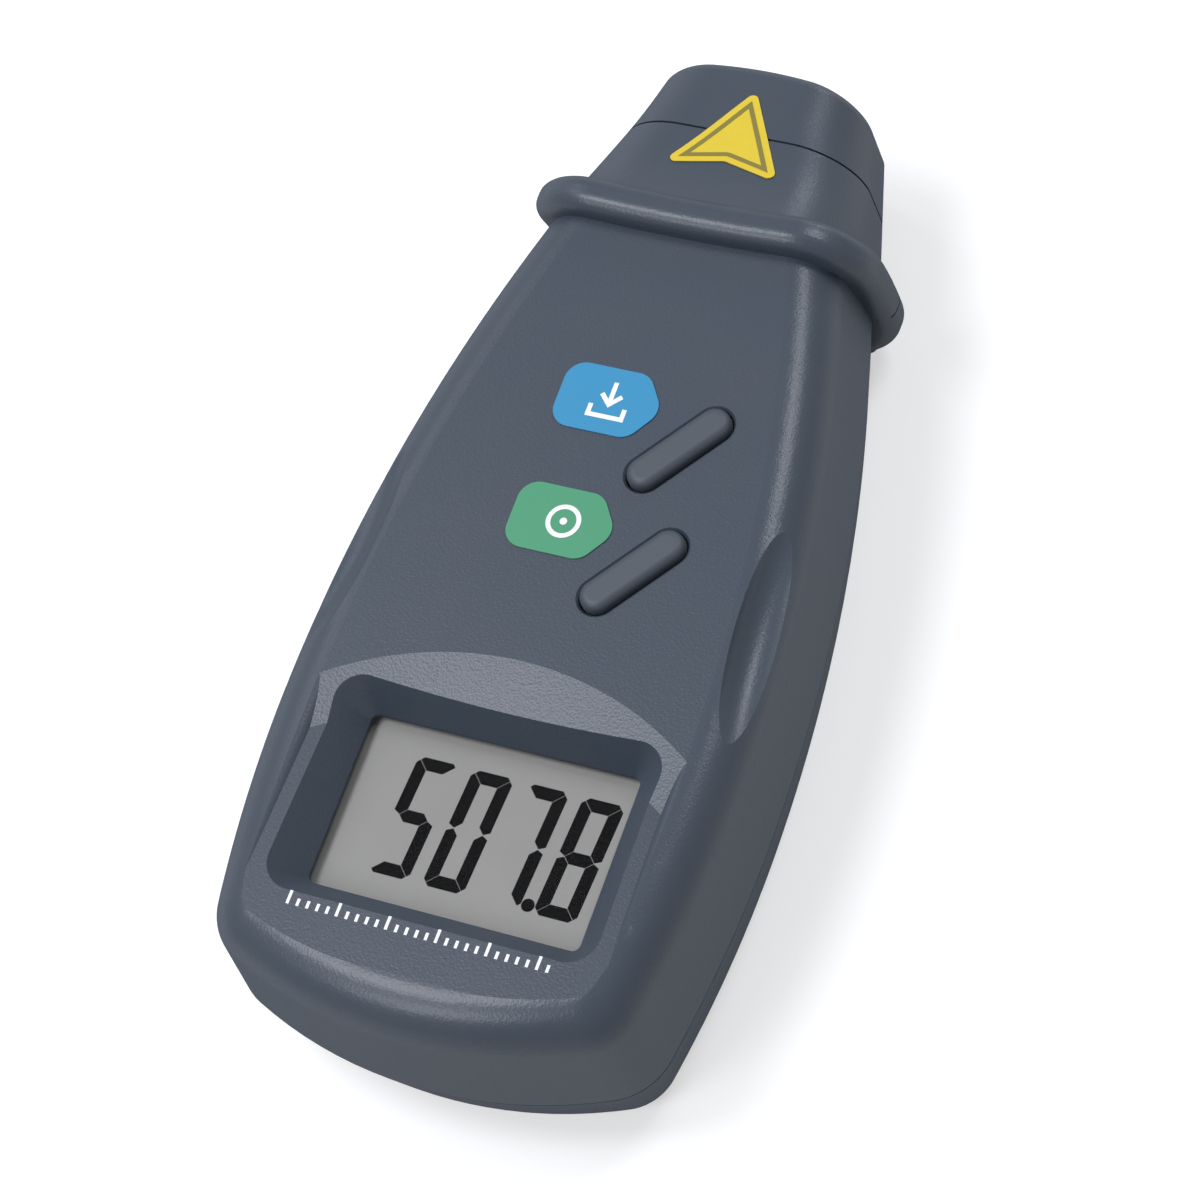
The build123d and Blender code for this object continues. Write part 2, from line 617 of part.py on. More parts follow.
def front_case():
    """Front half: face, display well, thumb scoops, button openings and the half ring"""
    space = cavity(True)
    hollow = space - display_block() - Pos(0, 0, -WALL) * deck() - scoops(WALL)
    seat = plate_at_display(WINDOW_MARGIN + FIT_CLEARANCE, WINDOW_BOTTOM_Z - WALL, WINDOW_TOP_Z)
    case = outside(True) - hollow - deck() - well() - scoops(0) - seat
    rebate = WALL - LIP_SETBACK - LIP_THICKNESS - LIP_CLEARANCE
    groove = parting_band(rebate, PARTING_Z, PARTING_Z + LIP_HEIGHT + LIP_CLEARANCE) - space
    case = case - groove
    bosses = [rod(*place, PARTING_Z, INNER_FACE_Z, BOSS_DIAMETER) for place in case_screw_places()]
    posts = [rod(*place, BOARD_TOP_Z, INNER_FACE_Z, POST_DIAMETER) for place in board_screw_places()]
    hole_top = COUNTERBORE_DEPTH + CASE_SCREW_LENGTH + WALL / 2
    holes = [rod(*place, 0, hole_top, CASE_SCREW_DIAMETER) for place in case_screw_places()]
    post_top = BOARD_BOTTOM_Z + BOARD_SCREW_LENGTH + WALL / 4
    holes += [rod(*place, 0, post_top, BOARD_SCREW_DIAMETER) for place in board_screw_places()]
    holes += [button_hole(y) for y in button_centres().values()]
    return case + bosses + posts - holes


def door_plate(grow):
    """Stepped plate of the battery door, with the tongues that run in the case; grow gives its channel"""
    low = DOOR_RECESS
    step = low + DOOR_LOW_THICKNESS
    high = low + DOOR_THICKNESS
    narrow = DOOR_HALF_WIDTH + grow
    wide = DOOR_HALF_WIDTH + DOOR_TONGUE + grow
    y = (-LENGTH, DOOR_FRONT_Y - DOOR_CLEARANCE + grow)
    below = low if grow == 0 else -WALL
    return block((-narrow, narrow), y, (below, step)) + block((-wide, wide), y, (step - grow, high + grow))


def battery_door():
    """Sliding door in the back, ending in the rounded rear edge, with grip grooves across it"""
    door = door_plate(0) & body_lower(0)
    grooves = []
    for index in range(DOOR_GRIP_GROOVES):
        y = DOOR_FRONT_Y - DOOR_GRIP_FROM_EDGE - index * DOOR_GRIP_PITCH
        bar = rod_along(0, 0, -DOOR_HALF_WIDTH / 2, DOOR_HALF_WIDTH / 2, 2 * DOOR_GRIP_DEPTH)
        grooves.append(Pos(0, y, DOOR_RECESS) * Rot(0, 0, 90) * bar)
    return door - grooves


def tube_diameter():
    return LENS_DIAMETER + 2 * TUBE_WALL + 2 * FIT_CLEARANCE


def rear_case():
    """Back half: battery bay with its roof, door channel, screw bosses, parting lip and half ring"""
    hull = outside(False)
    outer = WALL - LIP_SETBACK - LIP_THICKNESS
    lip = parting_band(outer, PARTING_Z, PARTING_Z + LIP_HEIGHT)
    lip = lip - parting_band(WALL - LIP_SETBACK, PARTING_Z, PARTING_Z + LIP_HEIGHT)
    notch = BOSS_DIAMETER + 2 * LIP_CLEARANCE
    notches = [rod(*place, PARTING_Z, FACE_Z, notch) for place in case_screw_places()]
    case = hull - cavity(False) + (lip - notches)
    wide = DOOR_HALF_WIDTH + DOOR_TONGUE + WALL
    pad = block((-wide, wide), (-LENGTH, DOOR_FRONT_Y + WALL), (0, PAD_HEIGHT)) & hull
    bay_x = BAY_HALF_WIDTH + BAY_WALL
    bay_y = (BAY_REAR_Y - BAY_WALL, BAY_FRONT_Y + BAY_WALL)
    case = case + pad + block((-bay_x, bay_x), bay_y, (PAD_HEIGHT / 2, BAY_TOP_Z + BAY_WALL))
    case = case - block((-BAY_HALF_WIDTH, BAY_HALF_WIDTH), (BAY_REAR_Y, BAY_FRONT_Y), (-WALL, BAY_TOP_Z))
    case = case - door_plate(DOOR_CLEARANCE)
    bosses = [rod(*place, 0, PARTING_Z, BOSS_DIAMETER) & hull for place in case_screw_places()]
    cradle_y = (SEAM_Y - SPIGOT_LENGTH - 2 * WALL, SEAM_Y - SPIGOT_LENGTH - WALL)
    cradle = block((-LENS_DIAMETER / 2, LENS_DIAMETER / 2), cradle_y, (0, SENSOR_Z)) & hull
    bed = rod_along(0, SENSOR_Z, RING_LOW_Y, SEAM_Y, tube_diameter() + FIT_CLEARANCE)
    cuts = contact_slots()
    for place in case_screw_places():
        cuts.append(rod(*place, -WALL, COUNTERBORE_DEPTH, CASE_SCREW_HEAD + 4 * FIT_CLEARANCE))
        cuts.append(rod(*place, -WALL, FACE_Z, CASE_SCREW_DIAMETER + 2 * FIT_CLEARANCE))
    return case + bosses + (cradle - bed) - cuts - parting_groove(hull)


def parting_groove(hull):
    """Fine step round the outside, just below the parting"""
    low = PARTING_Z - GROOVE_WIDTH
    rim = hull & block((-WIDTH, WIDTH), (-LENGTH, LENGTH), (low, PARTING_Z))
    half = RING_HALF_WIDTH - GROOVE_DEPTH
    front = RING_LOW_Y + RING_THICKNESS - GROOVE_DEPTH
    ring_core = block((-half, half), (RING_LOW_Y + GROOVE_DEPTH, front), (low, PARTING_Z))
    return rim - parting_band(GROOVE_DEPTH, low, PARTING_Z) - ring_core


def contact_slots():
    """Slots in the bay roof for the two battery contacts"""
    reach = CONTACT_WIDTH / 4 + FIT_CLEARANCE
    y = (BAY_FRONT_Y - CONTACT_THICKNESS - 2 * FIT_CLEARANCE, BAY_FRONT_Y)
    z = (BAY_TOP_Z - WALL, BOARD_BOTTOM_Z)
    return [block((x - reach, x + reach), y, z) for x in (-TERMINAL_SPACING / 2, TERMINAL_SPACING / 2)]


def nose_cap():
    """Cap that closes the head, with a spigot inside the case halves and openings for lens and laser"""
    form = head(0)
    form = fillet(form.faces().sort_by(Axis.Y)[-1].edges(), NOSE_EDGE_RADIUS)
    gap = WALL + FIT_CLEARANCE
    inside = head(gap + SPIGOT_THICKNESS)
    cap = (form & between(SEAM_Y, LENGTH)) - head(WALL)
    spigot = (head(gap) - inside) & between(SEAM_Y - SPIGOT_LENGTH, SEAM_Y)
    root = (head(WALL / 2) - inside) & between(SEAM_Y, SEAM_Y + SPIGOT_THICKNESS)
    rim = (form - head(GROOVE_DEPTH)) & between(SEAM_Y - GROOVE_WIDTH, SEAM_Y + GROOVE_WIDTH)
    recess = rod_along(0, SENSOR_Z, HALF_LENGTH - WALL / 2, LENGTH, LENS_DIAMETER + WALL)
    aperture = rod_along(0, SENSOR_Z, SEAM_Y, LENGTH, LENS_APERTURE)
    laser = rod_along(0, LASER_Z, SEAM_Y, LENGTH, LASER_APERTURE)
    return cap + spigot + root - rim - recess - aperture - laser


# Display

def window():
    return plate_at_display(WINDOW_MARGIN, WINDOW_BOTTOM_Z, WINDOW_TOP_Z)


def glass():
    return plate_at_display(GLASS_MARGIN, GLASS_BOTTOM_Z, GLASS_TOP_Z)


def glass_frame():
    """Frame that holds the glass over the board"""
    top = WINDOW_BOTTOM_Z - GLASS_GAP
    outer = plate_at_display(GLASS_MARGIN + FIT_CLEARANCE + FRAME_WALL, BOARD_TOP_Z, top)
    return outer - plate_at_display(GLASS_MARGIN + FIT_CLEARANCE, BOARD_TOP_Z - WALL, FACE_Z)


def zebra_strip(side):
    """Rubber connector under one long edge of the glass"""
    edge = DISPLAY_Y + side * (GLASS_HEIGHT / 2 - ZEBRA_WIDTH)
    y = (edge - ZEBRA_WIDTH / 2, edge + ZEBRA_WIDTH / 2)
    return block((-ZEBRA_LENGTH / 2, ZEBRA_LENGTH / 2), y, (BOARD_TOP_Z, GLASS_BOTTOM_Z))


def bar_outlines():
    """Corners of the top, the right upper and the middle bar of an upright figure, mitred where they meet"""
    half = DIGIT_WIDTH / 2
    rise = DIGIT_HEIGHT / 2
    inner = half - DIGIT_STROKE
    centre = half - DIGIT_STROKE / 2
    cut = DIGIT_CORNER
    top = [(inner - DIGIT_GAP, rise - DIGIT_STROKE)]
    top += [(half - DIGIT_GAP - cut / 2, rise - cut / 2), (half - DIGIT_GAP - cut, rise)]
    top += [(-x, y) for x, y in reversed(top)]
    side = [(half, rise - DIGIT_GAP - cut), (half - cut / 2, rise - DIGIT_GAP - cut / 2)]
    side += [(inner, rise - DIGIT_STROKE - DIGIT_GAP), (inner, DIGIT_STROKE / 2 + DIGIT_GAP)]
    side += [(centre, DIGIT_GAP), (half, DIGIT_STROKE / 4 + DIGIT_GAP)]
    middle = [(centre - DIGIT_GAP, 0), (inner - DIGIT_GAP, DIGIT_STROKE / 2)]
    middle += [(-inner + DIGIT_GAP, DIGIT_STROKE / 2), (-centre + DIGIT_GAP, 0)]
    middle += [(-inner + DIGIT_GAP, -DIGIT_STROKE / 2), (inner - DIGIT_GAP, -DIGIT_STROKE / 2)]
    return top, side, middle


def digit(x, figure):
    """Bars of one figure of the reading, leaning to the right"""
    top, side, middle = bar_outlines()
    bars = {
        "a": top,
        "b": side,
        "c": [(across, -up) for across, up in side],
        "d": [(across, -up) for across, up in top],
        "e": [(-across, -up) for across, up in side],
        "f": [(-across, up) for across, up in side],
        "g": middle,
    }
    lean = math.tan(math.radians(DIGIT_SLANT))
    place = Pos(x, DISPLAY_Y + DIGIT_SHIFT_Y, GLASS_TOP_Z)
    faces = []
    for name in SEGMENTS_OF[figure]:
        corners = [Vector(across + up * lean, up, 0) for across, up in bars[name]]
        faces.append(place * make_face(Polyline(*corners, close=True)))
    return faces


def lcd_segments():
    """Dark bars of the reading, with its decimal point"""
    bars = []
    for index, figure in enumerate(READING):
        bars += digit(FIRST_DIGIT_X + index * DIGIT_PITCH, figure)
    below = (DIGIT_HEIGHT - POINT_DIAMETER) / 2
    point_x = FIRST_DIGIT_X + (POINT_AFTER - 0.5) * DIGIT_PITCH - below * math.tan(math.radians(DIGIT_SLANT))
    point_y = DISPLAY_Y + DIGIT_SHIFT_Y - below
    bars.append(Pos(point_x, point_y, GLASS_TOP_Z) * Circle(POINT_DIAMETER / 2))
    return Compound(children=[extrude(bar, amount=SEGMENT_THICKNESS) for bar in bars])


# Buttons and their switches

def button(y):
    """Pill-shaped cap with a crowned top, a flange under the face and a stem to the switch"""
    flange_top = INNER_FACE_Z - BUTTON_FLANGE_PLAY
    flange_bottom = flange_top - BUTTON_FLANGE_THICKNESS
    cap = extrude(button_pill(y, flange_bottom, 0), amount=FACE_Z + BUTTON_STAND - flange_bottom)
    cap = fillet(cap.faces().sort_by(Axis.Z)[-1].edges(), BUTTON_CROWN_RADIUS)
    flange = extrude(button_pill(y, flange_bottom, BUTTON_FLANGE), amount=BUTTON_FLANGE_THICKNESS)
    return cap + flange + rod(BUTTON_X, y, PLUNGER_TOP_Z, flange_bottom, STEM_DIAMETER)


def plunger(y):
    return rod(BUTTON_X, y, SWITCH_TOP_Z - PLUNGER_BELOW, PLUNGER_TOP_Z, PLUNGER_DIAMETER)


def switch(y):
    """Push switch on the board, with the well its plunger moves in"""
    half = SWITCH_SIZE / 2
    body = block((BUTTON_X - half, BUTTON_X + half), (y - half, y + half), (BOARD_TOP_Z, SWITCH_TOP_Z))
    body = chamfer(body.edges().filter_by(Axis.Z), SWITCH_SIZE / 12)
    floor = SWITCH_TOP_Z - PLUNGER_BELOW - BUTTON_TRAVEL - PLUNGER_GAP
    return body - rod(BUTTON_X, y, floor, FACE_Z, PLUNGER_DIAMETER + 2 * PLUNGER_GAP)


# Boards and parts on them

def main_board():
    """Main board, fixed to posts behind the face, with openings round the case bosses"""
    lean = (BOARD_TOP_Z - PARTING_Z) * math.tan(math.radians(UPPER_DRAFT))
    outline = body_outline(WALL + BOARD_EDGE_GAP + lean)
    outline = outline & rectangle((-WIDTH, WIDTH), (BOARD_REAR_Y, BOARD_FRONT_Y))
    board = extrude(Pos(0, 0, BOARD_BOTTOM_Z) * outline, amount=BOARD_THICKNESS)
    round_boss = BOSS_DIAMETER + 4 * FIT_CLEARANCE
    round_screw = BOARD_SCREW_DIAMETER + 2 * FIT_CLEARANCE
    openings = [rod(*place, 0, FACE_Z, round_boss) for place in case_screw_places()]
    openings += [rod(*place, 0, FACE_Z, round_screw) for place in board_screw_places()]
    return board - openings


def on_board(place, size):
    """Block of a given size standing on the board"""
    x, y = place
    length, width, height = size
    span_x = (x - length / 2, x + length / 2)
    span_y = (y - width / 2, y + width / 2)
    return block(span_x, span_y, (BOARD_TOP_Z, BOARD_TOP_Z + height))


def microcontroller():
    """Square chip with leads on all four sides"""
    x, y = CHIP_PLACE
    lift = CHIP_LEAD_THICKNESS / 2
    chip = Pos(0, 0, lift) * on_board(CHIP_PLACE, (CHIP_SIZE, CHIP_SIZE, CHIP_HEIGHT))
    chip = chamfer(chip.faces().sort_by(Axis.Z)[-1].edges(), CHIP_HEIGHT / 6)
    reach = CHIP_SIZE + 2 * CHIP_LEAD_LENGTH
    size_x = (reach, CHIP_LEAD_WIDTH, CHIP_LEAD_THICKNESS)
    size_y = (CHIP_LEAD_WIDTH, reach, CHIP_LEAD_THICKNESS)
    leads = []
    for index in range(CHIP_LEADS):
        shift = (index - (CHIP_LEADS - 1) / 2) * CHIP_LEAD_PITCH
        leads += [on_board((x, y + shift), size_x), on_board((x + shift, y), size_y)]
    return chip + leads


def crystal():
    """Metal can of the clock crystal"""
    can = SlotOverall(CRYSTAL_LENGTH, CRYSTAL_WIDTH)
    can = extrude(Pos(*CRYSTAL_PLACE, BOARD_TOP_Z) * can, amount=CRYSTAL_HEIGHT)
    return fillet(can.faces().sort_by(Axis.Z)[-1].edges(), CRYSTAL_HEIGHT / 6)


def electrolytic_capacitor():
    """Round capacitor can on its square foot"""
    foot = on_board(CAPACITOR_PLACE, (CAPACITOR_DIAMETER, CAPACITOR_DIAMETER, CAPACITOR_HEIGHT / 6))
    can = rod(*CAPACITOR_PLACE, BOARD_TOP_Z, BOARD_TOP_Z + CAPACITOR_HEIGHT, CAPACITOR_DIAMETER)
    return foot + fillet(can.faces().sort_by(Axis.Z)[-1].edges(), CAPACITOR_HEIGHT / 12)


def chip_parts():
    return Compound(children=[on_board(place, SMALL_PART) for place in SMALL_PLACES])


def header():
    """Row of bent pins that joins the two boards"""
    axis_z = BOARD_TOP_Z + HEADER_BODY / 2
    half = HEADER_PINS * HEADER_PITCH / 2
    front = BOARD_FRONT_Y - HEADER_BODY / 2
    body = block((-half, half), (front - HEADER_BODY, front), (BOARD_TOP_Z, BOARD_TOP_Z + HEADER_BODY))
    pins = []
    for index in range(HEADER_PINS):
        x = (index - (HEADER_PINS - 1) / 2) * HEADER_PITCH
        side = (x - HEADER_PIN / 2, x + HEADER_PIN / 2)
        thick = HEADER_PIN / 2
        pins.append(block(side, (front - 2 * HEADER_BODY, OPTICS_BOARD_Y), (axis_z - thick, axis_z + thick)))
        bend_y = front - 2 * HEADER_BODY
        pins.append(block(side, (bend_y, bend_y + HEADER_PIN), (BOARD_TOP_Z, axis_z + thick)))
    return body + pins


# Battery

def battery():
    """Block battery with two snap terminals at its front end"""
    rear = BAY_REAR_Y + BAY_CLEARANCE
    front = rear + BATTERY_LENGTH
    top = BATTERY_BOTTOM_Z + BATTERY_HEIGHT
    body = block((-BATTERY_WIDTH / 2, BATTERY_WIDTH / 2), (rear, front), (BATTERY_BOTTOM_Z, top))
    body = fillet(body.edges().filter_by(Axis.Y), BATTERY_EDGE)
    z = BATTERY_BOTTOM_Z + BATTERY_HEIGHT / 2
    x = TERMINAL_SPACING / 2
    tip = front + TERMINAL_HEIGHT
    terminals = [rod_along(side * x, z, front, tip, TERMINAL_DIAMETER) for side in (-1, 1)]
    socket = rod_along(-x, z, front + TERMINAL_HEIGHT / 3, front + LENGTH, TERMINAL_SOCKET)
    return body + terminals - socket


def battery_contacts():
    """Two sprung metal strips at the front of the bay, rising to the board"""
    front = BAY_FRONT_Y - FIT_CLEARANCE
    rear = front - CONTACT_THICKNESS
    z = BATTERY_BOTTOM_Z + BATTERY_HEIGHT / 2
    strips = []
    for x in (-TERMINAL_SPACING / 2, TERMINAL_SPACING / 2):
        wide = (x - CONTACT_WIDTH / 2, x + CONTACT_WIDTH / 2)
        narrow = (x - CONTACT_WIDTH / 4, x + CONTACT_WIDTH / 4)
        plate = block(wide, (rear, front), (z - CONTACT_WIDTH / 2, z + CONTACT_WIDTH / 2))
        tab = block(narrow, (rear, front), (z, BOARD_BOTTOM_Z))
        bump = rod_along(x, z, rear - CONTACT_BUMP, rear, CONTACT_BUMP_DIAMETER)
        strips.append(plate + tab + bump)
    return Compound(children=strips)


# Optics

def optics_board():
    """Small upright board behind the optics"""
    x = (-OPTICS_BOARD_HALF_WIDTH, OPTICS_BOARD_HALF_WIDTH)
    board = block(x, (OPTICS_BOARD_Y, OPTICS_BOARD_Y + BOARD_THICKNESS), OPTICS_BOARD_Z)
    return chamfer(board.edges().filter_by(Axis.Y), BOARD_THICKNESS)


def optics_holder():
    """Plastic block with a tube for the laser above a tube for the lens"""
    rear = OPTICS_BOARD_Y + BOARD_THICKNESS
    plate_x = (-OPTICS_BOARD_HALF_WIDTH, OPTICS_BOARD_HALF_WIDTH)
    plate = block(plate_x, (rear, rear + HOLDER_PLATE), OPTICS_BOARD_Z)
    laser_outer = LASER_DIAMETER + 2 * FIT_CLEARANCE + 2 * HOLDER_TUBE_WALL
    laser_tube = rod_along(0, LASER_Z, rear, LASER_FRONT_Y - 2 * WALL, laser_outer)
    lens_tube = rod_along(0, SENSOR_Z, rear, LENS_FRONT_Y - LENS_THICKNESS / 2, tube_diameter())
    bores = [rod_along(0, LASER_Z, 0, LENGTH, LASER_DIAMETER + 2 * FIT_CLEARANCE)]
    bores.append(rod_along(0, SENSOR_Z, 0, LENGTH, LENS_DIAMETER + 2 * FIT_CLEARANCE))
    return chamfer(plate.edges().filter_by(Axis.Y), HOLDER_PLATE / 2) + laser_tube + lens_tube - bores


def laser_barrel():
    rear = LASER_FRONT_Y - LASER_LENGTH
    barrel = rod_along(0, LASER_Z, rear, LASER_FRONT_Y, LASER_DIAMETER)
    mouth = rod_along(0, LASER_Z, LASER_FRONT_Y - LASER_LENS_THICKNESS, LENGTH, LASER_BORE + FIT_CLEARANCE)
    return barrel - rod_along(0, LASER_Z, 0, LENGTH, LASER_BORE - WALL / 2) - mouth


def laser_lens():
    """Small lens at the mouth of the barrel, domed in front"""
    rear = LASER_FRONT_Y - LASER_LENS_THICKNESS
    lens = rod_along(0, LASER_Z, rear, LASER_FRONT_Y, LASER_BORE)
    return fillet(lens.faces().sort_by(Axis.Y)[-1].edges(), LASER_LENS_THICKNESS / 2)


def laser_diode():
    """Metal can behind the barrel, with three pins to the board"""
    front = LASER_FRONT_Y - LASER_LENGTH
    base = rod_along(0, LASER_Z, front - DIODE_BASE_LENGTH, front, DIODE_BASE)
    can = rod_along(0, LASER_Z, front, front + DIODE_CAN_LENGTH, DIODE_CAN)
    rear = OPTICS_BOARD_Y + BOARD_THICKNESS
    pins = [rod_along(x, LASER_Z, rear, front, PIN_DIAMETER) for x in (-DIODE_BASE / 4, DIODE_BASE / 4)]
    pins.append(rod_along(0, LASER_Z - DIODE_BASE / 4, rear, front, PIN_DIAMETER))
    return base + can + pins


def photo_sensor():
    """Clear dome of the light sensor on the optics board"""
    rear = OPTICS_BOARD_Y + BOARD_THICKNESS
    sensor = rod_along(0, SENSOR_Z, rear, rear + SENSOR_LENGTH, SENSOR_DIAMETER)
    sensor = fillet(sensor.faces().sort_by(Axis.Y)[-1].edges(), SENSOR_DOME_RADIUS)
    return sensor + rod_along(0, SENSOR_Z, rear, rear + SENSOR_FLANGE_LENGTH, SENSOR_FLANGE)


def sensor_lens():
    """Round lens behind the nose opening, domed in front"""
    lens = rod_along(0, SENSOR_Z, LENS_FRONT_Y - LENS_THICKNESS, LENS_FRONT_Y, LENS_DIAMETER)
    return fillet(lens.faces().sort_by(Axis.Y)[-1].edges(), LENS_THICKNESS / 2)


# Screws

def screw(place, head_z, sizes):
    """Screw with a cross recess in its head"""
    x, y = place
    diameter, length, head_diameter, head_height = sizes
    shaft = rod(x, y, head_z, head_z + length, diameter)
    cap = rod(x, y, head_z - head_height, head_z, head_diameter)
    cap = fillet(cap.faces().sort_by(Axis.Z)[0].edges(), head_height / 4)
    reach = head_diameter * RECESS_REACH
    z = (head_z - head_height - RECESS_DEPTH, head_z - head_height + RECESS_DEPTH)
    slot_x = block((x - reach, x + reach), (y - RECESS_WIDTH / 2, y + RECESS_WIDTH / 2), z)
    slot_y = block((x - RECESS_WIDTH / 2, x + RECESS_WIDTH / 2), (y - reach, y + reach), z)
    return shaft + cap - slot_x - slot_y


def case_screws():
    sizes = (CASE_SCREW_DIAMETER, CASE_SCREW_LENGTH, CASE_SCREW_HEAD, CASE_SCREW_HEAD_HEIGHT)
    places = case_screw_places()
    return Compound(children=[screw(place, COUNTERBORE_DEPTH, sizes) for place in places])


def board_screws():
    sizes = (BOARD_SCREW_DIAMETER, BOARD_SCREW_LENGTH, BOARD_SCREW_HEAD, BOARD_SCREW_HEAD_HEIGHT)
    places = board_screw_places()
    return Compound(children=[screw(place, BOARD_BOTTOM_Z, sizes) for place in places])


# Labels and printed marks

def tag_centre_y(button_y):
    return button_y + TAG_ABOVE_BUTTON


def tag(button_y):
    """Rounded label beside a button, pointed towards it"""
    half = TAG_HEIGHT / 2
    left = TAG_X
    right = TAG_X + TAG_LENGTH
    outline = Polyline((left, half), (right - TAG_SHOULDER, half), (right, 0), (right - TAG_SHOULDER, -half),
                       (left, -half), close=True)
    face = make_face(outline)
    face = fillet(face.vertices(), TAG_CORNER)
    return extrude(Pos(0, tag_centre_y(button_y), FACE_Z) * face, amount=LABEL_THICKNESS)


def stroke(start, end):
    """Printed line with square ends"""
    run = Vector(end[0] - start[0], end[1] - start[1], 0)
    angle = math.degrees(math.atan2(run.Y, run.X))
    middle = Pos((start[0] + end[0]) / 2, (start[1] + end[1]) / 2)
    return middle * Rot(0, 0, angle) * Rectangle(run.length + MARK_STROKE, MARK_STROKE)


def printed(faces, x, y, z):
    """Thin print from flat shapes, placed on a surface"""
    return Compound(children=[Pos(x, y, z) * extrude(face, amount=PRINT_THICKNESS) for face in faces])


def store_mark():
    """Arrow pointing down into a tray"""
    size = TAG_HEIGHT / 4
    tray = stroke((-size, -size / 2), (-size, -size)) + stroke((-size, -size), (size, -size))
    tray = tray + stroke((size, -size), (size, -size / 2))
    arrow = stroke((0, size), (0, 0)) + stroke((-size / 2, size / 4), (0, -size / 4))
    return [tray, arrow + stroke((0, -size / 4), (size / 2, size / 4))]


def aim_mark():
    """Ring with a dot in it"""
    size = TAG_HEIGHT / 4
    return [Circle(size) - Circle(size - MARK_STROKE), Circle(MARK_DOT_DIAMETER / 2)]


def aim_outline(margin):
    """Arrowhead that points to the nose, with a notched base"""
    rear = AIM_FRONT_Y - AIM_HEIGHT
    points = [(0, AIM_FRONT_Y), (-AIM_BASE / 2, rear), (0, rear + AIM_NOTCH), (AIM_BASE / 2, rear)]
    face = Pos(AIM_X, 0) * make_face(Polyline(*points, close=True))
    face = fillet(face.vertices(), AIM_CORNER)
    return offset(face, -margin) if margin else face


def on_head(outline, low, high):
    """Thin layer over the head, between two heights above its surface"""
    layer = head(-high) - head(-low)
    top = block((-WIDTH, WIDTH), (JOIN_Y, LENGTH), (PARTING_Z, FAR))
    return layer & extrude(outline, amount=FAR) & top


def aim_label():
    return on_head(aim_outline(0), 0, LABEL_THICKNESS)


def aim_label_print():
    """Darker line just inside the edge of the aiming label"""
    line = aim_outline(AIM_LINE_MARGIN) - aim_outline(AIM_LINE_MARGIN + MARK_STROKE)
    return on_head(line, LABEL_THICKNESS, LABEL_THICKNESS + PRINT_THICKNESS)


def legend_marks():
    """Row of fine ticks on the deck below the display"""
    slope = math.degrees(math.atan(DECK_DEPTH / (deck_front_y() - deck_rear_y())))
    step = LEGEND_WIDTH / (LEGEND_MARKS - 1)
    ticks = []
    for index in range(LEGEND_MARKS):
        height = LEGEND_LONG_HEIGHT if index % LEGEND_GROUP == 0 else LEGEND_MARK_HEIGHT
        y = (height - LEGEND_LONG_HEIGHT) / 2
        x = (index - (LEGEND_MARKS - 1) / 2) * step
        face = Pos(x, y) * Rectangle(LEGEND_MARK_WIDTH, height)
        ticks.append(extrude(face, amount=PRINT_THICKNESS))
    place = Pos(0, LEGEND_Y, deck_z(LEGEND_Y)) * Rot(-slope, 0, 0)
    return Compound(children=[place * tick for tick in ticks])


def all_nodes():
    """Every separate piece of the object under its own name"""
    nodes = {
        "front_case": front_case(),
        "rear_case": rear_case(),
        "nose_cap": nose_cap(),
        "battery_door": battery_door(),
        "battery": battery(),
        "battery_contacts": battery_contacts(),
        "display_window": window(),
        "lcd_glass": glass(),
        "lcd_segments": lcd_segments(),
        "lcd_frame": glass_frame(),
        "zebra_strip_upper": zebra_strip(1),
        "zebra_strip_lower": zebra_strip(-1),
        "main_board": main_board(),
        "microcontroller": microcontroller(),
        "crystal": crystal(),
        "electrolytic_capacitor": electrolytic_capacitor(),
        "chip_parts": chip_parts(),
        "board_header": header(),
        "optics_board": optics_board(),
        "optics_holder": optics_holder(),
        "laser_barrel": laser_barrel(),
        "laser_lens": laser_lens(),
        "laser_diode": laser_diode(),
        "photo_sensor": photo_sensor(),
        "sensor_lens": sensor_lens(),
        "case_screws": case_screws(),
        "board_screws": board_screws(),
        "aim_label": aim_label(),
        "aim_label_print": aim_label_print(),
        "legend_marks": legend_marks(),
    }
    marks = {"mem": store_mark(), "test": aim_mark()}
    for name, y in button_centres().items():
        nodes[name + "_button"] = button(y)
        nodes[name + "_switch"] = switch(y)
        nodes[name + "_switch_plunger"] = plunger(y)
        nodes[name + "_label"] = tag(y)
        middle = TAG_X + TAG_LENGTH / 2
        height = FACE_Z + LABEL_THICKNESS
        nodes[name + "_label_print"] = printed(marks[name], middle, tag_centre_y(y), height)
    return nodes


os.makedirs("parts", exist_ok=True)
for node, solid in all_nodes().items():
    export_step(solid, f"parts/{node}.step")
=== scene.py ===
"""Handheld photo tachometer: finishes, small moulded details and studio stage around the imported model"""

import math

import bmesh
import bpy
from bpy.props import FloatProperty, FloatVectorProperty, PointerProperty
from mathutils import Matrix, Vector


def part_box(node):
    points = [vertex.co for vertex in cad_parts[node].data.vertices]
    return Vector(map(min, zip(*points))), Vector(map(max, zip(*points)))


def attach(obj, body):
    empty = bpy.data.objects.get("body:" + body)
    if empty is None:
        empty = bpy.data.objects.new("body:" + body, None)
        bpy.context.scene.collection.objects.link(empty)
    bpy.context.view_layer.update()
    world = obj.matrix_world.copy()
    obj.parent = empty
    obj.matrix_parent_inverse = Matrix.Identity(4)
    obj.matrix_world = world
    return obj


bl_info = {
    "name": "Photo Tachometer Dressing",
    "version": (1, 0, 0),
    "blender": (4, 5, 0),
    "location": "3D View > Sidebar > Tachometer",
    "description": "Dresses a handheld photo tachometer in its finishes and sets a soft studio around it",
    "category": "Object",
}

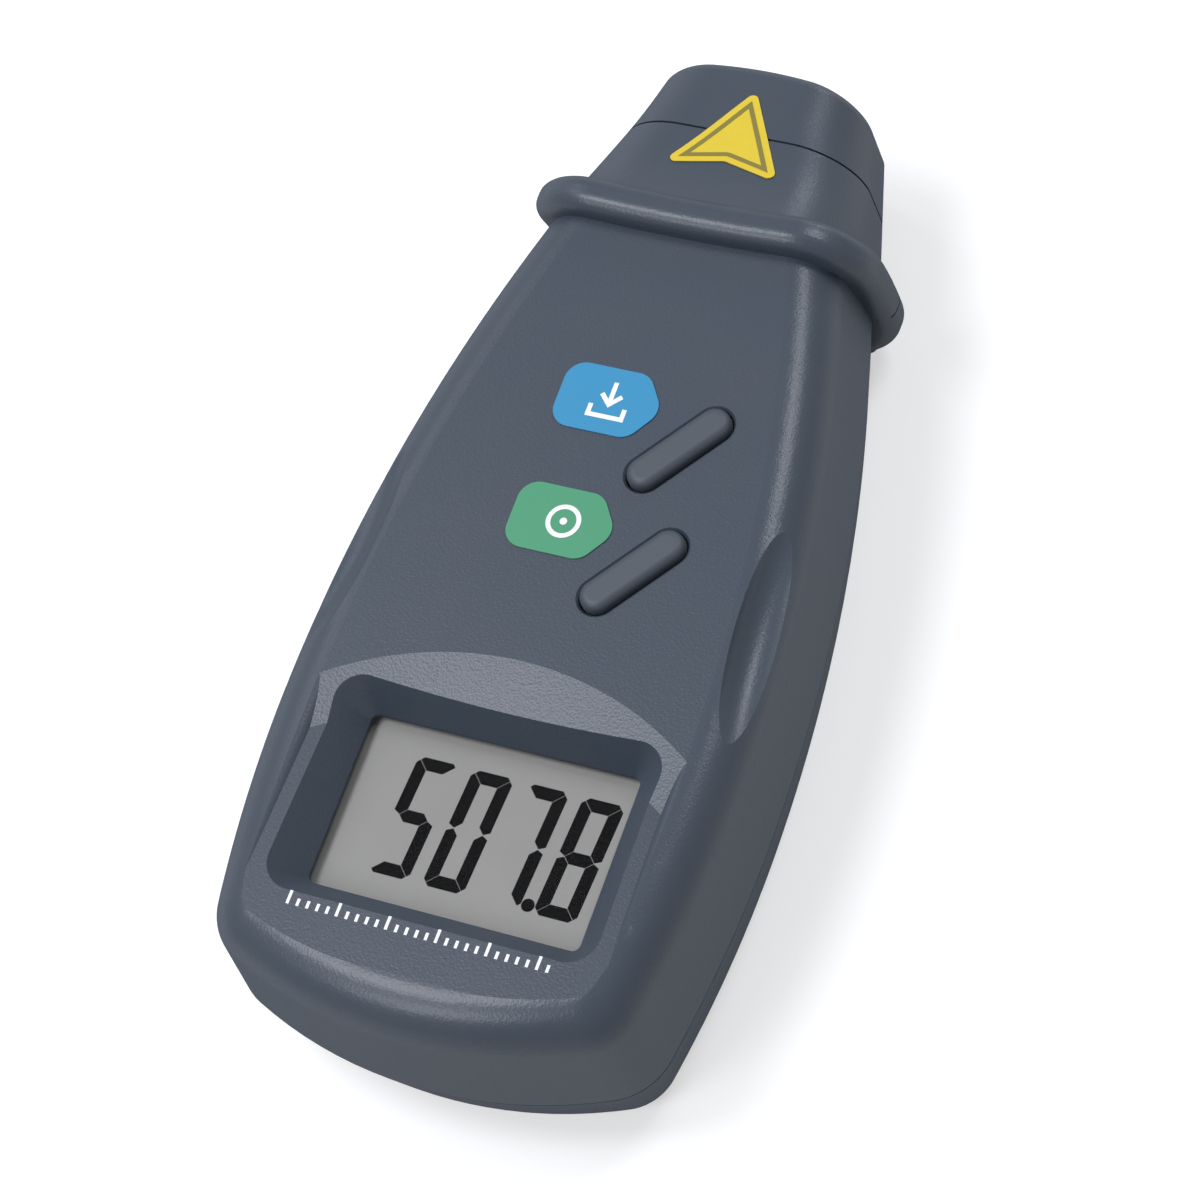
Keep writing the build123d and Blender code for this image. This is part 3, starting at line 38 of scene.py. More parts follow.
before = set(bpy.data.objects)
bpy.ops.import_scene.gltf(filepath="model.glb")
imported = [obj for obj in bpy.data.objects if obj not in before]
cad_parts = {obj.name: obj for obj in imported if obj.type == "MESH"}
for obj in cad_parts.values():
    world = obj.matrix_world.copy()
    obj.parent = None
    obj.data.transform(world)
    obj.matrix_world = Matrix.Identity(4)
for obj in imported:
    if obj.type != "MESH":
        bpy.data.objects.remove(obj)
bpy.context.view_layer.update()

MILLIMETRE = 0.001
CASE_NODES = ("front_case", "rear_case", "nose_cap", "battery_door")

# Studio camera: where it stands, the line from the object to it, and its roll about that line
CAMERA_PLACE = (0.206396, -0.203337, 0.523405)
CAMERA_LINE = (0.35401, -0.34304, 0.87006)
CAMERA_ROLL = 0.365

# Softboxes: name, place and width in metres, and the setting that holds the power
SOFTBOXES = (
    ("overhead softbox", (-0.33, -0.08, 0.85), 0.36, "key_lamp"),
    ("rear softbox", (-0.26, -0.56, 0.72), 0.32, "rear_lamp"),
    ("front softbox", (0.31, 0.51, 0.78), 0.34, "front_lamp"),
    ("left softbox", (-0.62, 0.32, 0.65), 0.3, "left_lamp"),
    ("low softbox", (0.13, 0.95, 0.36), 0.18, "low_lamp"),
)

# Slightly cool light of the softboxes
LAMP_TINT = (0.93, 0.94, 1.0)

# Brightness of the room where the camera, a reflection or a clear piece shows it
ROOM_SEEN = 0.85

# Side of the square floor in metres, and how dull its paper is
FLOOR_SIDE = 6.0
FLOOR_ROUGHNESS = 0.9

# Values of a texture between which a tone or a number changes
TEXTURE_LOW = 0.3
TEXTURE_HIGH = 0.7

# Roughness that a grained surface gains where it is seen edge on
SIDE_DULLNESS = 0.7

# Width of the clouds of tone on moulded plastic
CLOUD_SIZE = 21 * MILLIMETRE

# Drawn metal: width of its fine lines, and how many times longer than wide they are
METAL_LINE = 0.12 * MILLIMETRE
METAL_STRETCH = 10.0

# Heights of the finest reliefs
METAL_RELIEF = 0.006 * MILLIMETRE
INK_RELIEF = 0.008 * MILLIMETRE
GLASS_RELIEF = 0.004 * MILLIMETRE
JACKET_RELIEF = 0.006 * MILLIMETRE
TRACK_RELIEF = 0.03 * MILLIMETRE

# Widths of the patches in which a thin coat or a clear piece changes
INK_PATCH = 3.5 * MILLIMETRE
DISPLAY_PATCH = 9 * MILLIMETRE
WINDOW_PATCH = 12 * MILLIMETRE
OPTIC_PATCH = 6 * MILLIMETRE
BOARD_PATCH = 10 * MILLIMETRE
JACKET_PATCH = 6 * MILLIMETRE
FLOOR_PATCH = 50 * MILLIMETRE

# Arrow on the battery door: height, and its head, shaft and widths as shares of its length or half width
ARROW_RISE = 0.12 * MILLIMETRE
ARROW_HEAD = 0.45
ARROW_SHAFT = 0.5
ARROW_HALF_WIDTH = 0.42
ARROW_SHAFT_WIDTH = 0.4
ARROW_BEVEL = 0.6
ARROW_PLACE = 0.55

# Other plastics and rubber: darker tone, lighter tone, grain and relief in millimetres, and roughness
PLAIN_PLASTICS = {
    "switch plastic": ((0.012, 0.012, 0.013), (0.02, 0.02, 0.021), 0.2, 0.01, 0.4),
    "plunger plastic": ((0.3, 0.29, 0.26), (0.36, 0.34, 0.3), 0.2, 0.01, 0.35),
    "frame plastic": ((0.5, 0.5, 0.48), (0.56, 0.56, 0.54), 0.3, 0.01, 0.5),
    "strip rubber": ((0.16, 0.03, 0.028), (0.22, 0.05, 0.045), 0.2, 0.02, 0.7),
    "holder plastic": ((0.01, 0.01, 0.011), (0.016, 0.016, 0.018), 0.3, 0.02, 0.55),
    "chip resin": ((0.012, 0.012, 0.013), (0.018, 0.018, 0.02), 0.15, 0.008, 0.5),
}

# Metals: tone and roughness
METALS = {
    "turned brass": ((0.62, 0.43, 0.18), 0.3),
    "gold-plated can": ((0.72, 0.52, 0.24), 0.24),
    "crystal can": ((0.66, 0.66, 0.64), 0.26),
    "capacitor can": ((0.72, 0.73, 0.74), 0.3),
    "nickel strip": ((0.62, 0.6, 0.55), 0.28),
    "zinc-plated steel": ((0.56, 0.57, 0.58), 0.32),
}

# Tones of the clear window, the solder mask, the copper under it and the battery jacket
WINDOW_TONES = ((0.016, 0.018, 0.018), (0.02, 0.022, 0.022))
MASK_TONES = ((0.012, 0.09, 0.035), (0.016, 0.11, 0.042))
TRACK_TONE = (0.045, 0.2, 0.07)
JACKET_TONES = ((0.0, (0.012, 0.013, 0.015)), (0.66, (0.42, 0.17, 0.05)), (0.94, (0.45, 0.45, 0.46)))


def colour(name, description, default):
    """Colour property shown with a picker"""
    return FloatVectorProperty(
        name=name, description=description, default=default, subtype="COLOR", size=3, min=0.0, max=1.0,
    )


def length(name, description, millimetres):
    """Length property in metres, with its default given in millimetres"""
    metres = millimetres * MILLIMETRE
    return FloatProperty(
        name=name, description=description, default=metres, min=0.0, unit="LENGTH", precision=5,
    )


def share(name, description, default):
    """Property between nothing and all"""
    return FloatProperty(
        name=name, description=description, default=default, min=0.0, max=1.0, subtype="FACTOR",
    )


def power(name, description, watts):
    """Power of a lamp"""
    return FloatProperty(name=name, description=description, default=watts, min=0.0, unit="POWER")


class CaseSettings(bpy.types.PropertyGroup):
    """Moulded case and its keys"""

    tint: colour("Case Tint", "Blue grey of the case plastic", (0.039, 0.054, 0.075))
    warm_tint: colour("Patch Tint", "Slightly warmer grey that clouds over the case", (0.045, 0.058, 0.077))
    key_tint: colour("Key Tint", "Grey of the two slanted keys", (0.041, 0.053, 0.069))
    grain: length("Grain Size", "Width of one bump of the spark-eroded texture", 0.34)
    grain_depth: length("Grain Depth", "Height of the spark-eroded texture", 0.02)
    roughness: share("Roughness", "Roughness of the case plastic", 0.36)
    shine: share("Shine", "Strength of the reflection on the case plastic", 0.34)
    key_roughness: share("Key Roughness", "Roughness of the two slanted keys", 0.58)
    arrow: length("Arrow Length", "Length of the arrow moulded on the battery door", 7.0)


class DisplaySettings(bpy.types.PropertyGroup):
    """Window, glass and bars of the reading"""

    glass_tint: colour("Glass Tint", "Grey green of the display behind the bars", (0.315, 0.314, 0.296))
    bar_tint: colour("Bar Tint", "Near black of the bars", (0.002, 0.002, 0.0025))
    window_cover: share("Window Cover", "How much of what lies behind the clear window it veils", 0.05)


class LabelSettings(bpy.types.PropertyGroup):
    """Stuck-on labels and printed marks"""

    blue: colour("Blue", "Blue of the memory label", (0.02, 0.235, 0.44))
    green: colour("Green", "Green of the test label", (0.046, 0.265, 0.135))
    yellow: colour("Yellow", "Yellow of the aiming label", (0.66, 0.5, 0.03))
    olive: colour("Olive", "Line inside the aiming label", (0.2, 0.17, 0.03))
    white: colour("White", "White of the printed marks", (0.8, 0.82, 0.84))


class StageSettings(bpy.types.PropertyGroup):
    """Floor, lamps and camera"""

    floor: colour("Floor", "Colour of the floor", (0.55, 0.555, 0.555))
    lens: FloatProperty(
        name="Lens", description="Focal length of the camera", default=121.7, min=10.0, unit="CAMERA",
    )
    lift: share("Floor Lift", "Brightness added to the floor where it is seen", 0.52)
    key_lamp: power("Key Lamp", "Power of the softbox overhead", 4.4)
    rear_lamp: power("Rear Lamp", "Power of the softbox past the battery end", 2.4)
    front_lamp: power("Front Lamp", "Power of the softbox past the nose", 3.0)
    left_lamp: power("Left Lamp", "Power of the softbox at the left", 0.8)
    low_lamp: power("Low Lamp", "Power of the small softbox low past the nose", 1.4)
    air: share("Air Light", "Brightness of the room all round", 0.26)


# Shader building blocks

def add_node(tree, kind, place=(0, 0), **values):
    """Adds a node and sets named inputs or plain attributes on it"""
    made = tree.nodes.new(kind)
    made.location = place
    for name, value in values.items():
        label = name.replace("_", " ").title()
        if label in made.inputs:
            made.inputs[label].default_value = value
        else:
            setattr(made, name, value)
    return made


def new_group(name, inputs, outputs):
    """Empty node group with its sockets; inputs give name and default, outputs give name and kind"""
    group = bpy.data.node_groups.new(name, "ShaderNodeTree")
    for label, default in inputs:
        socket = group.interface.new_socket(label, in_out="INPUT", socket_type="NodeSocketFloat")
        socket.default_value = default
    for label, kind in outputs:
        group.interface.new_socket(label, in_out="OUTPUT", socket_type=kind)
    start = add_node(group, "NodeGroupInput", (-900, 0))
    end = add_node(group, "NodeGroupOutput", (700, 0))
    return group, start, end


def maths(tree, operation, first, second, place=(0, 0)):
    """Math node between two sockets or numbers; gives its output"""
    made = add_node(tree, "ShaderNodeMath", place, operation=operation)
    for socket, value in zip(made.inputs, (first, second)):
        if isinstance(value, bpy.types.NodeSocket):
            tree.links.new(value, socket)
        else:
            socket.default_value = value
    return made.outputs[0]


def moulded_grain_group():
    """Spark-eroded texture of moulded plastic: fine height, broad clouds and a change in gloss"""
    group, start, end = new_group(
        "Moulded Grain",
        [("Grain", 0.0003), ("Cloud", 0.03)],
        [("Height", "NodeSocketFloat"), ("Cloud", "NodeSocketFloat"), ("Gloss", "NodeSocketFloat")],
    )
    spot = add_node(group, "ShaderNodeTexCoord", (-900, -250))
    fine = maths(group, "DIVIDE", 1.0, start.outputs["Grain"], (-700, 150))
    broad = maths(group, "DIVIDE", 1.0, start.outputs["Cloud"], (-700, -50))
    pits = add_node(group, "ShaderNodeTexNoise", (-450, 250), detail=2.0, roughness=0.55)
    cells = add_node(group, "ShaderNodeTexVoronoi", (-450, 0), feature="SMOOTH_F1")
    clouds = add_node(group, "ShaderNodeTexNoise", (-450, -250), detail=4.0, roughness=0.6)
    for texture, scale in ((pits, fine), (cells, fine), (clouds, broad)):
        group.links.new(spot.outputs["Object"], texture.inputs["Vector"])
        group.links.new(scale, texture.inputs["Scale"])
    height = maths(group, "ADD", pits.outputs["Fac"], cells.outputs["Distance"], (-150, 150))
    gloss = maths(group, "MULTIPLY", pits.outputs["Fac"], clouds.outputs["Fac"], (-150, -50))
    group.links.new(height, end.inputs["Height"])
    group.links.new(clouds.outputs["Fac"], end.inputs["Cloud"])
    group.links.new(gloss, end.inputs["Gloss"])
    return group


def brushed_group():
    """Fine lines of drawn or turned metal along one axis, with a broad stain"""
    group, start, end = new_group(
        "Drawn Metal",
        [("Line", 0.0001), ("Stretch", 12.0)],
        [("Height", "NodeSocketFloat"), ("Stain", "NodeSocketFloat")],
    )
    spot = add_node(group, "ShaderNodeTexCoord", (-900, -250))
    fine = maths(group, "DIVIDE", 1.0, start.outputs["Line"], (-700, 150))
    slow = maths(group, "DIVIDE", 1.0, start.outputs["Stretch"], (-700, 0))
    squeeze = add_node(group, "ShaderNodeCombineXYZ", (-600, -200), x=1.0, z=1.0)
    group.links.new(slow, squeeze.inputs["Y"])
    shaped = add_node(group, "ShaderNodeVectorMath", (-450, -250), operation="MULTIPLY")
    group.links.new(spot.outputs["Object"], shaped.inputs[0])
    group.links.new(squeeze.outputs["Vector"], shaped.inputs[1])
    lines = add_node(group, "ShaderNodeTexNoise", (-250, 150), detail=3.0)
    group.links.new(shaped.outputs["Vector"], lines.inputs["Vector"])
    group.links.new(fine, lines.inputs["Scale"])
    stain = add_node(group, "ShaderNodeTexNoise", (-250, -150), scale=260.0, detail=3.0)
    group.links.new(spot.outputs["Object"], stain.inputs["Vector"])
    group.links.new(lines.outputs["Fac"], end.inputs["Height"])
    group.links.new(stain.outputs["Fac"], end.inputs["Stain"])
    return group


def ink_group():
    """Screen-printed ink: broad change in density and a fine unevenness of its surface"""
    group, start, end = new_group(
        "Printed Ink",
        [("Patch", 0.004)],
        [("Density", "NodeSocketFloat"), ("Height", "NodeSocketFloat")],
    )
    spot = add_node(group, "ShaderNodeTexCoord", (-900, -150))
    scale = maths(group, "DIVIDE", 1.0, start.outputs["Patch"], (-700, 100))
    density = add_node(group, "ShaderNodeTexNoise", (-450, 150), detail=5.0, roughness=0.65)
    group.links.new(scale, density.inputs["Scale"])
    fibre = add_node(group, "ShaderNodeTexNoise", (-450, -150), scale=5200.0, detail=2.0)
    for texture in (density, fibre):
        group.links.new(spot.outputs["Object"], texture.inputs["Vector"])
    group.links.new(density.outputs["Fac"], end.inputs["Density"])
    group.links.new(fibre.outputs["Fac"], end.inputs["Height"])
    return group


def shared_group(builder, name):
    """The node group of that name, built once"""
    return bpy.data.node_groups.get(name) or builder()


def place_group(tree, builder, name, place=(-700, 0), **values):
    """Puts a shared group in a material with its own values"""
    made = add_node(tree, "ShaderNodeGroup", place)
    made.node_tree = shared_group(builder, name)
    for label, value in values.items():
        made.inputs[label.title()].default_value = value
    return made


def new_material(name):
    """Material with its Principled shader ready; gives the material, its tree and the shader"""
    made = bpy.data.materials.new(name)
    made.use_nodes = True
    return made, made.node_tree, made.node_tree.nodes["Principled BSDF"]


def ramp(tree, source, low, high):
    """Colour between two tones that follows a texture; gives its output"""
    made = add_node(tree, "ShaderNodeValToRGB", (-450, 250))
    made.color_ramp.elements[0].position = TEXTURE_LOW
    made.color_ramp.elements[1].position = TEXTURE_HIGH
    made.color_ramp.elements[0].color = (*low, 1.0)
    made.color_ramp.elements[1].color = (*high, 1.0)
    tree.links.new(source, made.inputs["Fac"])
    return made.outputs["Color"]


def between(tree, source, low, high, place=(-450, 0)):
    """Number between two limits that follows a texture; gives its output"""
    made = add_node(
        tree, "ShaderNodeMapRange", place,
        from_min=TEXTURE_LOW, from_max=TEXTURE_HIGH, to_min=low, to_max=high,
    )
    tree.links.new(source, made.inputs["Value"])
    return made.outputs["Result"]


def bump(tree, shader, height, depth, strength=1.0):
    """Surface relief of a given depth in metres"""
    made = add_node(tree, "ShaderNodeBump", (-250, -250), strength=strength, distance=depth)
    tree.links.new(height, made.inputs["Height"])
    tree.links.new(made.outputs["Normal"], shader.inputs["Normal"])


def shade(tone, factor):
    """The same tone, lighter or darker"""
    return tuple(min(part * factor, 1.0) for part in tone)


# Finishes

def duller_aside(tree, gloss):
    """Roughness that grows where a grained surface is seen from aside; gives its output"""
    aside = add_node(tree, "ShaderNodeLayerWeight", (-700, -450), blend=0.5)
    turned = maths(tree, "POWER", aside.outputs["Facing"], 2.0, (-500, -450))
    gained = maths(tree, "MULTIPLY", turned, SIDE_DULLNESS, (-300, -450))
    return maths(tree, "ADD", gloss, gained, (-150, -350))


def moulded_plastic(name, low, high, grain, depth, roughness, shine=0.5):
    """Moulded plastic with a fine grain and faint clouds"""
    made, tree, shader = new_material(name)
    texture = place_group(tree, moulded_grain_group, "Moulded Grain", grain=grain, cloud=CLOUD_SIZE)
    tone = ramp(tree, texture.outputs["Cloud"], low, high)
    tree.links.new(tone, shader.inputs["Base Color"])
    gloss = between(tree, texture.outputs["Gloss"], roughness - 0.05, roughness + 0.05)
    tree.links.new(duller_aside(tree, gloss), shader.inputs["Roughness"])
    bump(tree, shader, texture.outputs["Height"], depth)
    shader.inputs["Specular IOR Level"].default_value = shine
    return made


def plain_plastic(name):
    """One of the other plastics, by its name"""
    low, high, grain, depth, roughness = PLAIN_PLASTICS[name]
    return moulded_plastic(name, low, high, grain * MILLIMETRE, depth * MILLIMETRE, roughness)


def metal(name):
    """Drawn or plated metal, by its name"""
    tone, roughness = METALS[name]
    made, tree, shader = new_material(name)
    shader.inputs["Metallic"].default_value = 1.0
    texture = place_group(tree, brushed_group, "Drawn Metal", line=METAL_LINE, stretch=METAL_STRETCH)
    stained = ramp(tree, texture.outputs["Stain"], shade(tone, 0.82), tone)
    tree.links.new(stained, shader.inputs["Base Color"])
    gloss = between(tree, texture.outputs["Stain"], roughness - 0.06, roughness + 0.06)
    tree.links.new(gloss, shader.inputs["Roughness"])
    bump(tree, shader, texture.outputs["Height"], METAL_RELIEF)
    return made


def printed_ink(name, tone, roughness=0.38, contrast=0.93):
    """Glossy printed film or ink of one colour with an uneven density"""
    made, tree, shader = new_material(name)
    texture = place_group(tree, ink_group, "Printed Ink", patch=INK_PATCH)
    uneven = ramp(tree, texture.outputs["Density"], shade(tone, contrast), tone)
    tree.links.new(uneven, shader.inputs["Base Color"])
    gloss = between(tree, texture.outputs["Density"], roughness + 0.05, roughness - 0.05)
    tree.links.new(gloss, shader.inputs["Roughness"])
    bump(tree, shader, texture.outputs["Height"], INK_RELIEF, 0.6)
    return made


def display_glass(tone):
    """Reflective display glass: grey green with a faint sparkle of its backing"""
    made, tree, shader = new_material("display glass")
    texture = place_group(tree, ink_group, "Printed Ink", patch=DISPLAY_PATCH)
    uneven = ramp(tree, texture.outputs["Density"], shade(tone, 0.95), tone)
    tree.links.new(uneven, shader.inputs["Base Color"])
    gloss = between(tree, texture.outputs["Height"], 0.5, 0.62)
    tree.links.new(gloss, shader.inputs["Roughness"])
    shader.inputs["Specular IOR Level"].default_value = 0.2
    bump(tree, shader, texture.outputs["Height"], GLASS_RELIEF, 0.5)
    return made


def display_bars(tone):
    """Dark bars of the reading, dull under the glass"""
    made = printed_ink("display bars", tone, 0.6, 0.8)
    made.node_tree.nodes["Principled BSDF"].inputs["Specular IOR Level"].default_value = 0.05
    return made


def clear_window(cover):
    """Clear acrylic with a glossy face"""
    made, tree, shader = new_material("clear acrylic")
    texture = place_group(tree, ink_group, "Printed Ink", patch=WINDOW_PATCH)
    gloss = between(tree, texture.outputs["Density"], 0.03, 0.07)
    tree.links.new(gloss, shader.inputs["Roughness"])
    tree.links.new(ramp(tree, texture.outputs["Density"], *WINDOW_TONES), shader.inputs["Base Color"])
    shader.inputs["IOR"].default_value = 1.49
    shader.inputs["Alpha"].default_value = cover
    return made


def optic(name, tone):
    """Tinted clear glass or resin"""
    made, tree, shader = new_material(name)
    texture = place_group(tree, ink_group, "Printed Ink", patch=OPTIC_PATCH)
    tree.links.new(between(tree, texture.outputs["Density"], 0.02, 0.05), shader.inputs["Roughness"])
    uneven = ramp(tree, texture.outputs["Density"], shade(tone, 0.92), tone)
    tree.links.new(uneven, shader.inputs["Base Color"])
    shader.inputs["Transmission Weight"].default_value = 0.85
    shader.inputs["IOR"].default_value = 1.52
    return made


def board_finish():
    """Solder mask with copper traces that show through it as a lighter green"""
    made, tree, shader = new_material("solder mask")
    spot = add_node(tree, "ShaderNodeTexCoord", (-1100, 0))
    tracks = add_node(
        tree, "ShaderNodeTexBrick", (-850, 150),
        scale=420.0, mortar_size=0.035, mortar_smooth=0.1, brick_width=1.6, row_height=0.5,
    )
    for label, tone in zip(("Color1", "Color2", "Mortar"), (*MASK_TONES, TRACK_TONE)):
        tracks.inputs[label].default_value = (*tone, 1.0)
    tree.links.new(spot.outputs["Object"], tracks.inputs["Vector"])
    tree.links.new(tracks.outputs["Color"], shader.inputs["Base Color"])
    texture = place_group(tree, ink_group, "Printed Ink", (-850, -250), patch=BOARD_PATCH)
    tree.links.new(between(tree, texture.outputs["Density"], 0.25, 0.36), shader.inputs["Roughness"])
    bump(tree, shader, tracks.outputs["Fac"], TRACK_RELIEF)
    return made


def battery_wrap(rear, front):
    """Printed battery jacket: a dark body with a copper-coloured band towards the terminals"""
    made, tree, shader = new_material("battery jacket")
    spot = add_node(tree, "ShaderNodeTexCoord", (-1100, 0))
    split = add_node(tree, "ShaderNodeSeparateXYZ", (-900, 0))
    tree.links.new(spot.outputs["Object"], split.inputs["Vector"])
    along = add_node(tree, "ShaderNodeMapRange", (-700, 200), from_min=rear, from_max=front)
    tree.links.new(split.outputs["Y"], along.inputs["Value"])
    bands = add_node(tree, "ShaderNodeValToRGB", (-450, 200))
    bands.color_ramp.interpolation = "CONSTANT"
    steps = bands.color_ramp.elements
    while len(steps) < len(JACKET_TONES):
        steps.new(1.0)
    for step, (begins, tone) in zip(steps, JACKET_TONES):
        step.position = begins
        step.color = (*tone, 1.0)
    tree.links.new(along.outputs["Result"], bands.inputs["Fac"])
    tree.links.new(bands.outputs["Color"], shader.inputs["Base Color"])
    texture = place_group(tree, ink_group, "Printed Ink", (-850, -250), patch=JACKET_PATCH)
    tree.links.new(between(tree, texture.outputs["Density"], 0.24, 0.34), shader.inputs["Roughness"])
    bump(tree, shader, texture.outputs["Height"], JACKET_RELIEF)
    return made


def dress(material, *names):
    """Gives CAD nodes a finish in every material slot"""
    for name in names:
        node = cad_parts[name]
        for index in range(max(len(node.data.materials), 1)):
            if node.data.materials:
                node.data.materials[index] = material
            else:
                node.data.materials.append(material)


def finish_piece(name, shape, material, body):
    """New piece from a bmesh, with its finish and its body"""
    mesh = bpy.data.meshes.new(name)
    shape.to_mesh(mesh)
    shape.free()
    mesh.materials.append(material)
    piece = bpy.data.objects.new(name, mesh)
    bpy.context.scene.collection.objects.link(piece)
    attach(piece, body)
    return piece


# One operator for each group of pieces

class TACHO_OT_case(bpy.types.Operator):
    """Gives the case halves, the nose cap and the battery door their moulded finish"""

    bl_idname = "tacho.case"
    bl_label = "Case"

    def execute(self, context):
        look = context.scene.tacho_case
        plastic = moulded_plastic(
            "case plastic", tuple(look.tint), tuple(look.warm_tint),
            look.grain, look.grain_depth, look.roughness, look.shine,
        )
        dress(plastic, *CASE_NODES)
        self.door_arrow(look.arrow, plastic)
        return {"FINISHED"}

    @staticmethod
    def door_arrow(size, plastic):
        """Slightly raised arrow on the battery door that points the way it slides off"""
        low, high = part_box("battery_door")
        along = low.y * (1 - ARROW_PLACE) + high.y * ARROW_PLACE
        middle = Vector(((low.x + high.x) / 2, along, low.z))
        head, neck, half = size * ARROW_HEAD, size * ARROW_SHAFT, size * ARROW_HALF_WIDTH
        shaft = half * ARROW_SHAFT_WIDTH
        outline = [(0, -head), (half, 0), (shaft, 0), (shaft, neck), (-shaft, neck), (-shaft, 0), (-half, 0)]
        shape = bmesh.new()
        points = [shape.verts.new(middle + Vector((x, y, ARROW_RISE))) for x, y in outline]
        face = shape.faces.new(points)
        pushed = bmesh.ops.extrude_face_region(shape, geom=[face])
        moved = [item for item in pushed["geom"] if isinstance(item, bmesh.types.BMVert)]
        bmesh.ops.translate(shape, vec=(0, 0, -2 * ARROW_RISE), verts=moved)
        rim = [edge for edge in shape.edges if all(vert in moved for vert in edge.verts)]
        offset = ARROW_RISE * ARROW_BEVEL
        bmesh.ops.bevel(shape, geom=rim, offset=offset, segments=2, affect="EDGES", profile=0.5)
        bmesh.ops.recalc_face_normals(shape, faces=shape.faces)
        finish_piece("battery_door_arrow", shape, plastic, "door")


class TACHO_OT_keys(bpy.types.Operator):
    """Finishes the two slanted keys and the switches under them"""

    bl_idname = "tacho.keys"
    bl_label = "Keys"

    def execute(self, context):
        look = context.scene.tacho_case
        tone = tuple(look.key_tint)
        grain, depth = look.grain * 0.8, look.grain_depth * 0.6
        keys = moulded_plastic("key plastic", shade(tone, 0.94), tone, grain, depth, look.key_roughness)
        dress(keys, "mem_button", "test_button")
        dress(plain_plastic("switch plastic"), "mem_switch", "test_switch")
        dress(plain_plastic("plunger plastic"), "mem_switch_plunger", "test_switch_plunger")
        return {"FINISHED"}


class TACHO_OT_display(bpy.types.Operator):
    """Finishes the clear window, the display glass, its bars, its frame and its rubber strips"""

    bl_idname = "tacho.display"
    bl_label = "Display"

    def execute(self, context):
        look = context.scene.tacho_display
        dress(clear_window(look.window_cover), "display_window")
        dress(display_glass(tuple(look.glass_tint)), "lcd_glass")
        dress(display_bars(tuple(look.bar_tint)), "lcd_segments")
        dress(plain_plastic("frame plastic"), "lcd_frame")
        dress(plain_plastic("strip rubber"), "zebra_strip_upper", "zebra_strip_lower")
        return {"FINISHED"}


class TACHO_OT_labels(bpy.types.Operator):
    """Finishes the stuck-on labels and the printed marks"""

    bl_idname = "tacho.labels"
    bl_label = "Labels"

    def execute(self, context):
        look = context.scene.tacho_labels
        dress(printed_ink("blue film", tuple(look.blue)), "mem_label")
        dress(printed_ink("green film", tuple(look.green)), "test_label")
        dress(printed_ink("yellow film", tuple(look.yellow)), "aim_label")
        dress(printed_ink("olive ink", tuple(look.olive)), "aim_label_print")
        white = printed_ink("white ink", tuple(look.white))
        dress(white, "mem_label_print", "test_label_print", "legend_marks")
        return {"FINISHED"}


class TACHO_OT_optics(bpy.types.Operator):
    """Finishes the laser, the light sensor and the lenses in the head"""

    bl_idname = "tacho.optics"
    bl_label = "Optics"

    def execute(self, context):
        dress(metal("turned brass"), "laser_barrel")
        dress(metal("gold-plated can"), "laser_diode")
        dress(optic("red optic", (0.85, 0.25, 0.22)), "laser_lens")
        dress(optic("clear optic", (0.86, 0.9, 0.92)), "sensor_lens", "photo_sensor")
        dress(plain_plastic("holder plastic"), "optics_holder")
        return {"FINISHED"}


class TACHO_OT_electronics(bpy.types.Operator):
    """Finishes the boards, the parts on them and the battery with its contacts"""

    bl_idname = "tacho.electronics"
    bl_label = "Electronics"

    def execute(self, context):
        dress(board_finish(), "main_board", "optics_board")
        dress(plain_plastic("chip resin"), "microcontroller", "chip_parts", "board_header")
        dress(metal("crystal can"), "crystal")
        dress(metal("capacitor can"), "electrolytic_capacitor")
        dress(metal("nickel strip"), "battery_contacts")
        low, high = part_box("battery")
        dress(battery_wrap(low.y, high.y), "battery")
        return {"FINISHED"}


class TACHO_OT_fasteners(bpy.types.Operator):
    """Finishes the screws of the case and of the main board"""

    bl_idname = "tacho.fasteners"
    bl_label = "Fasteners"

    def execute(self, context):
        dress(metal("zinc-plated steel"), "case_screws", "board_screws")
        return {"FINISHED"}


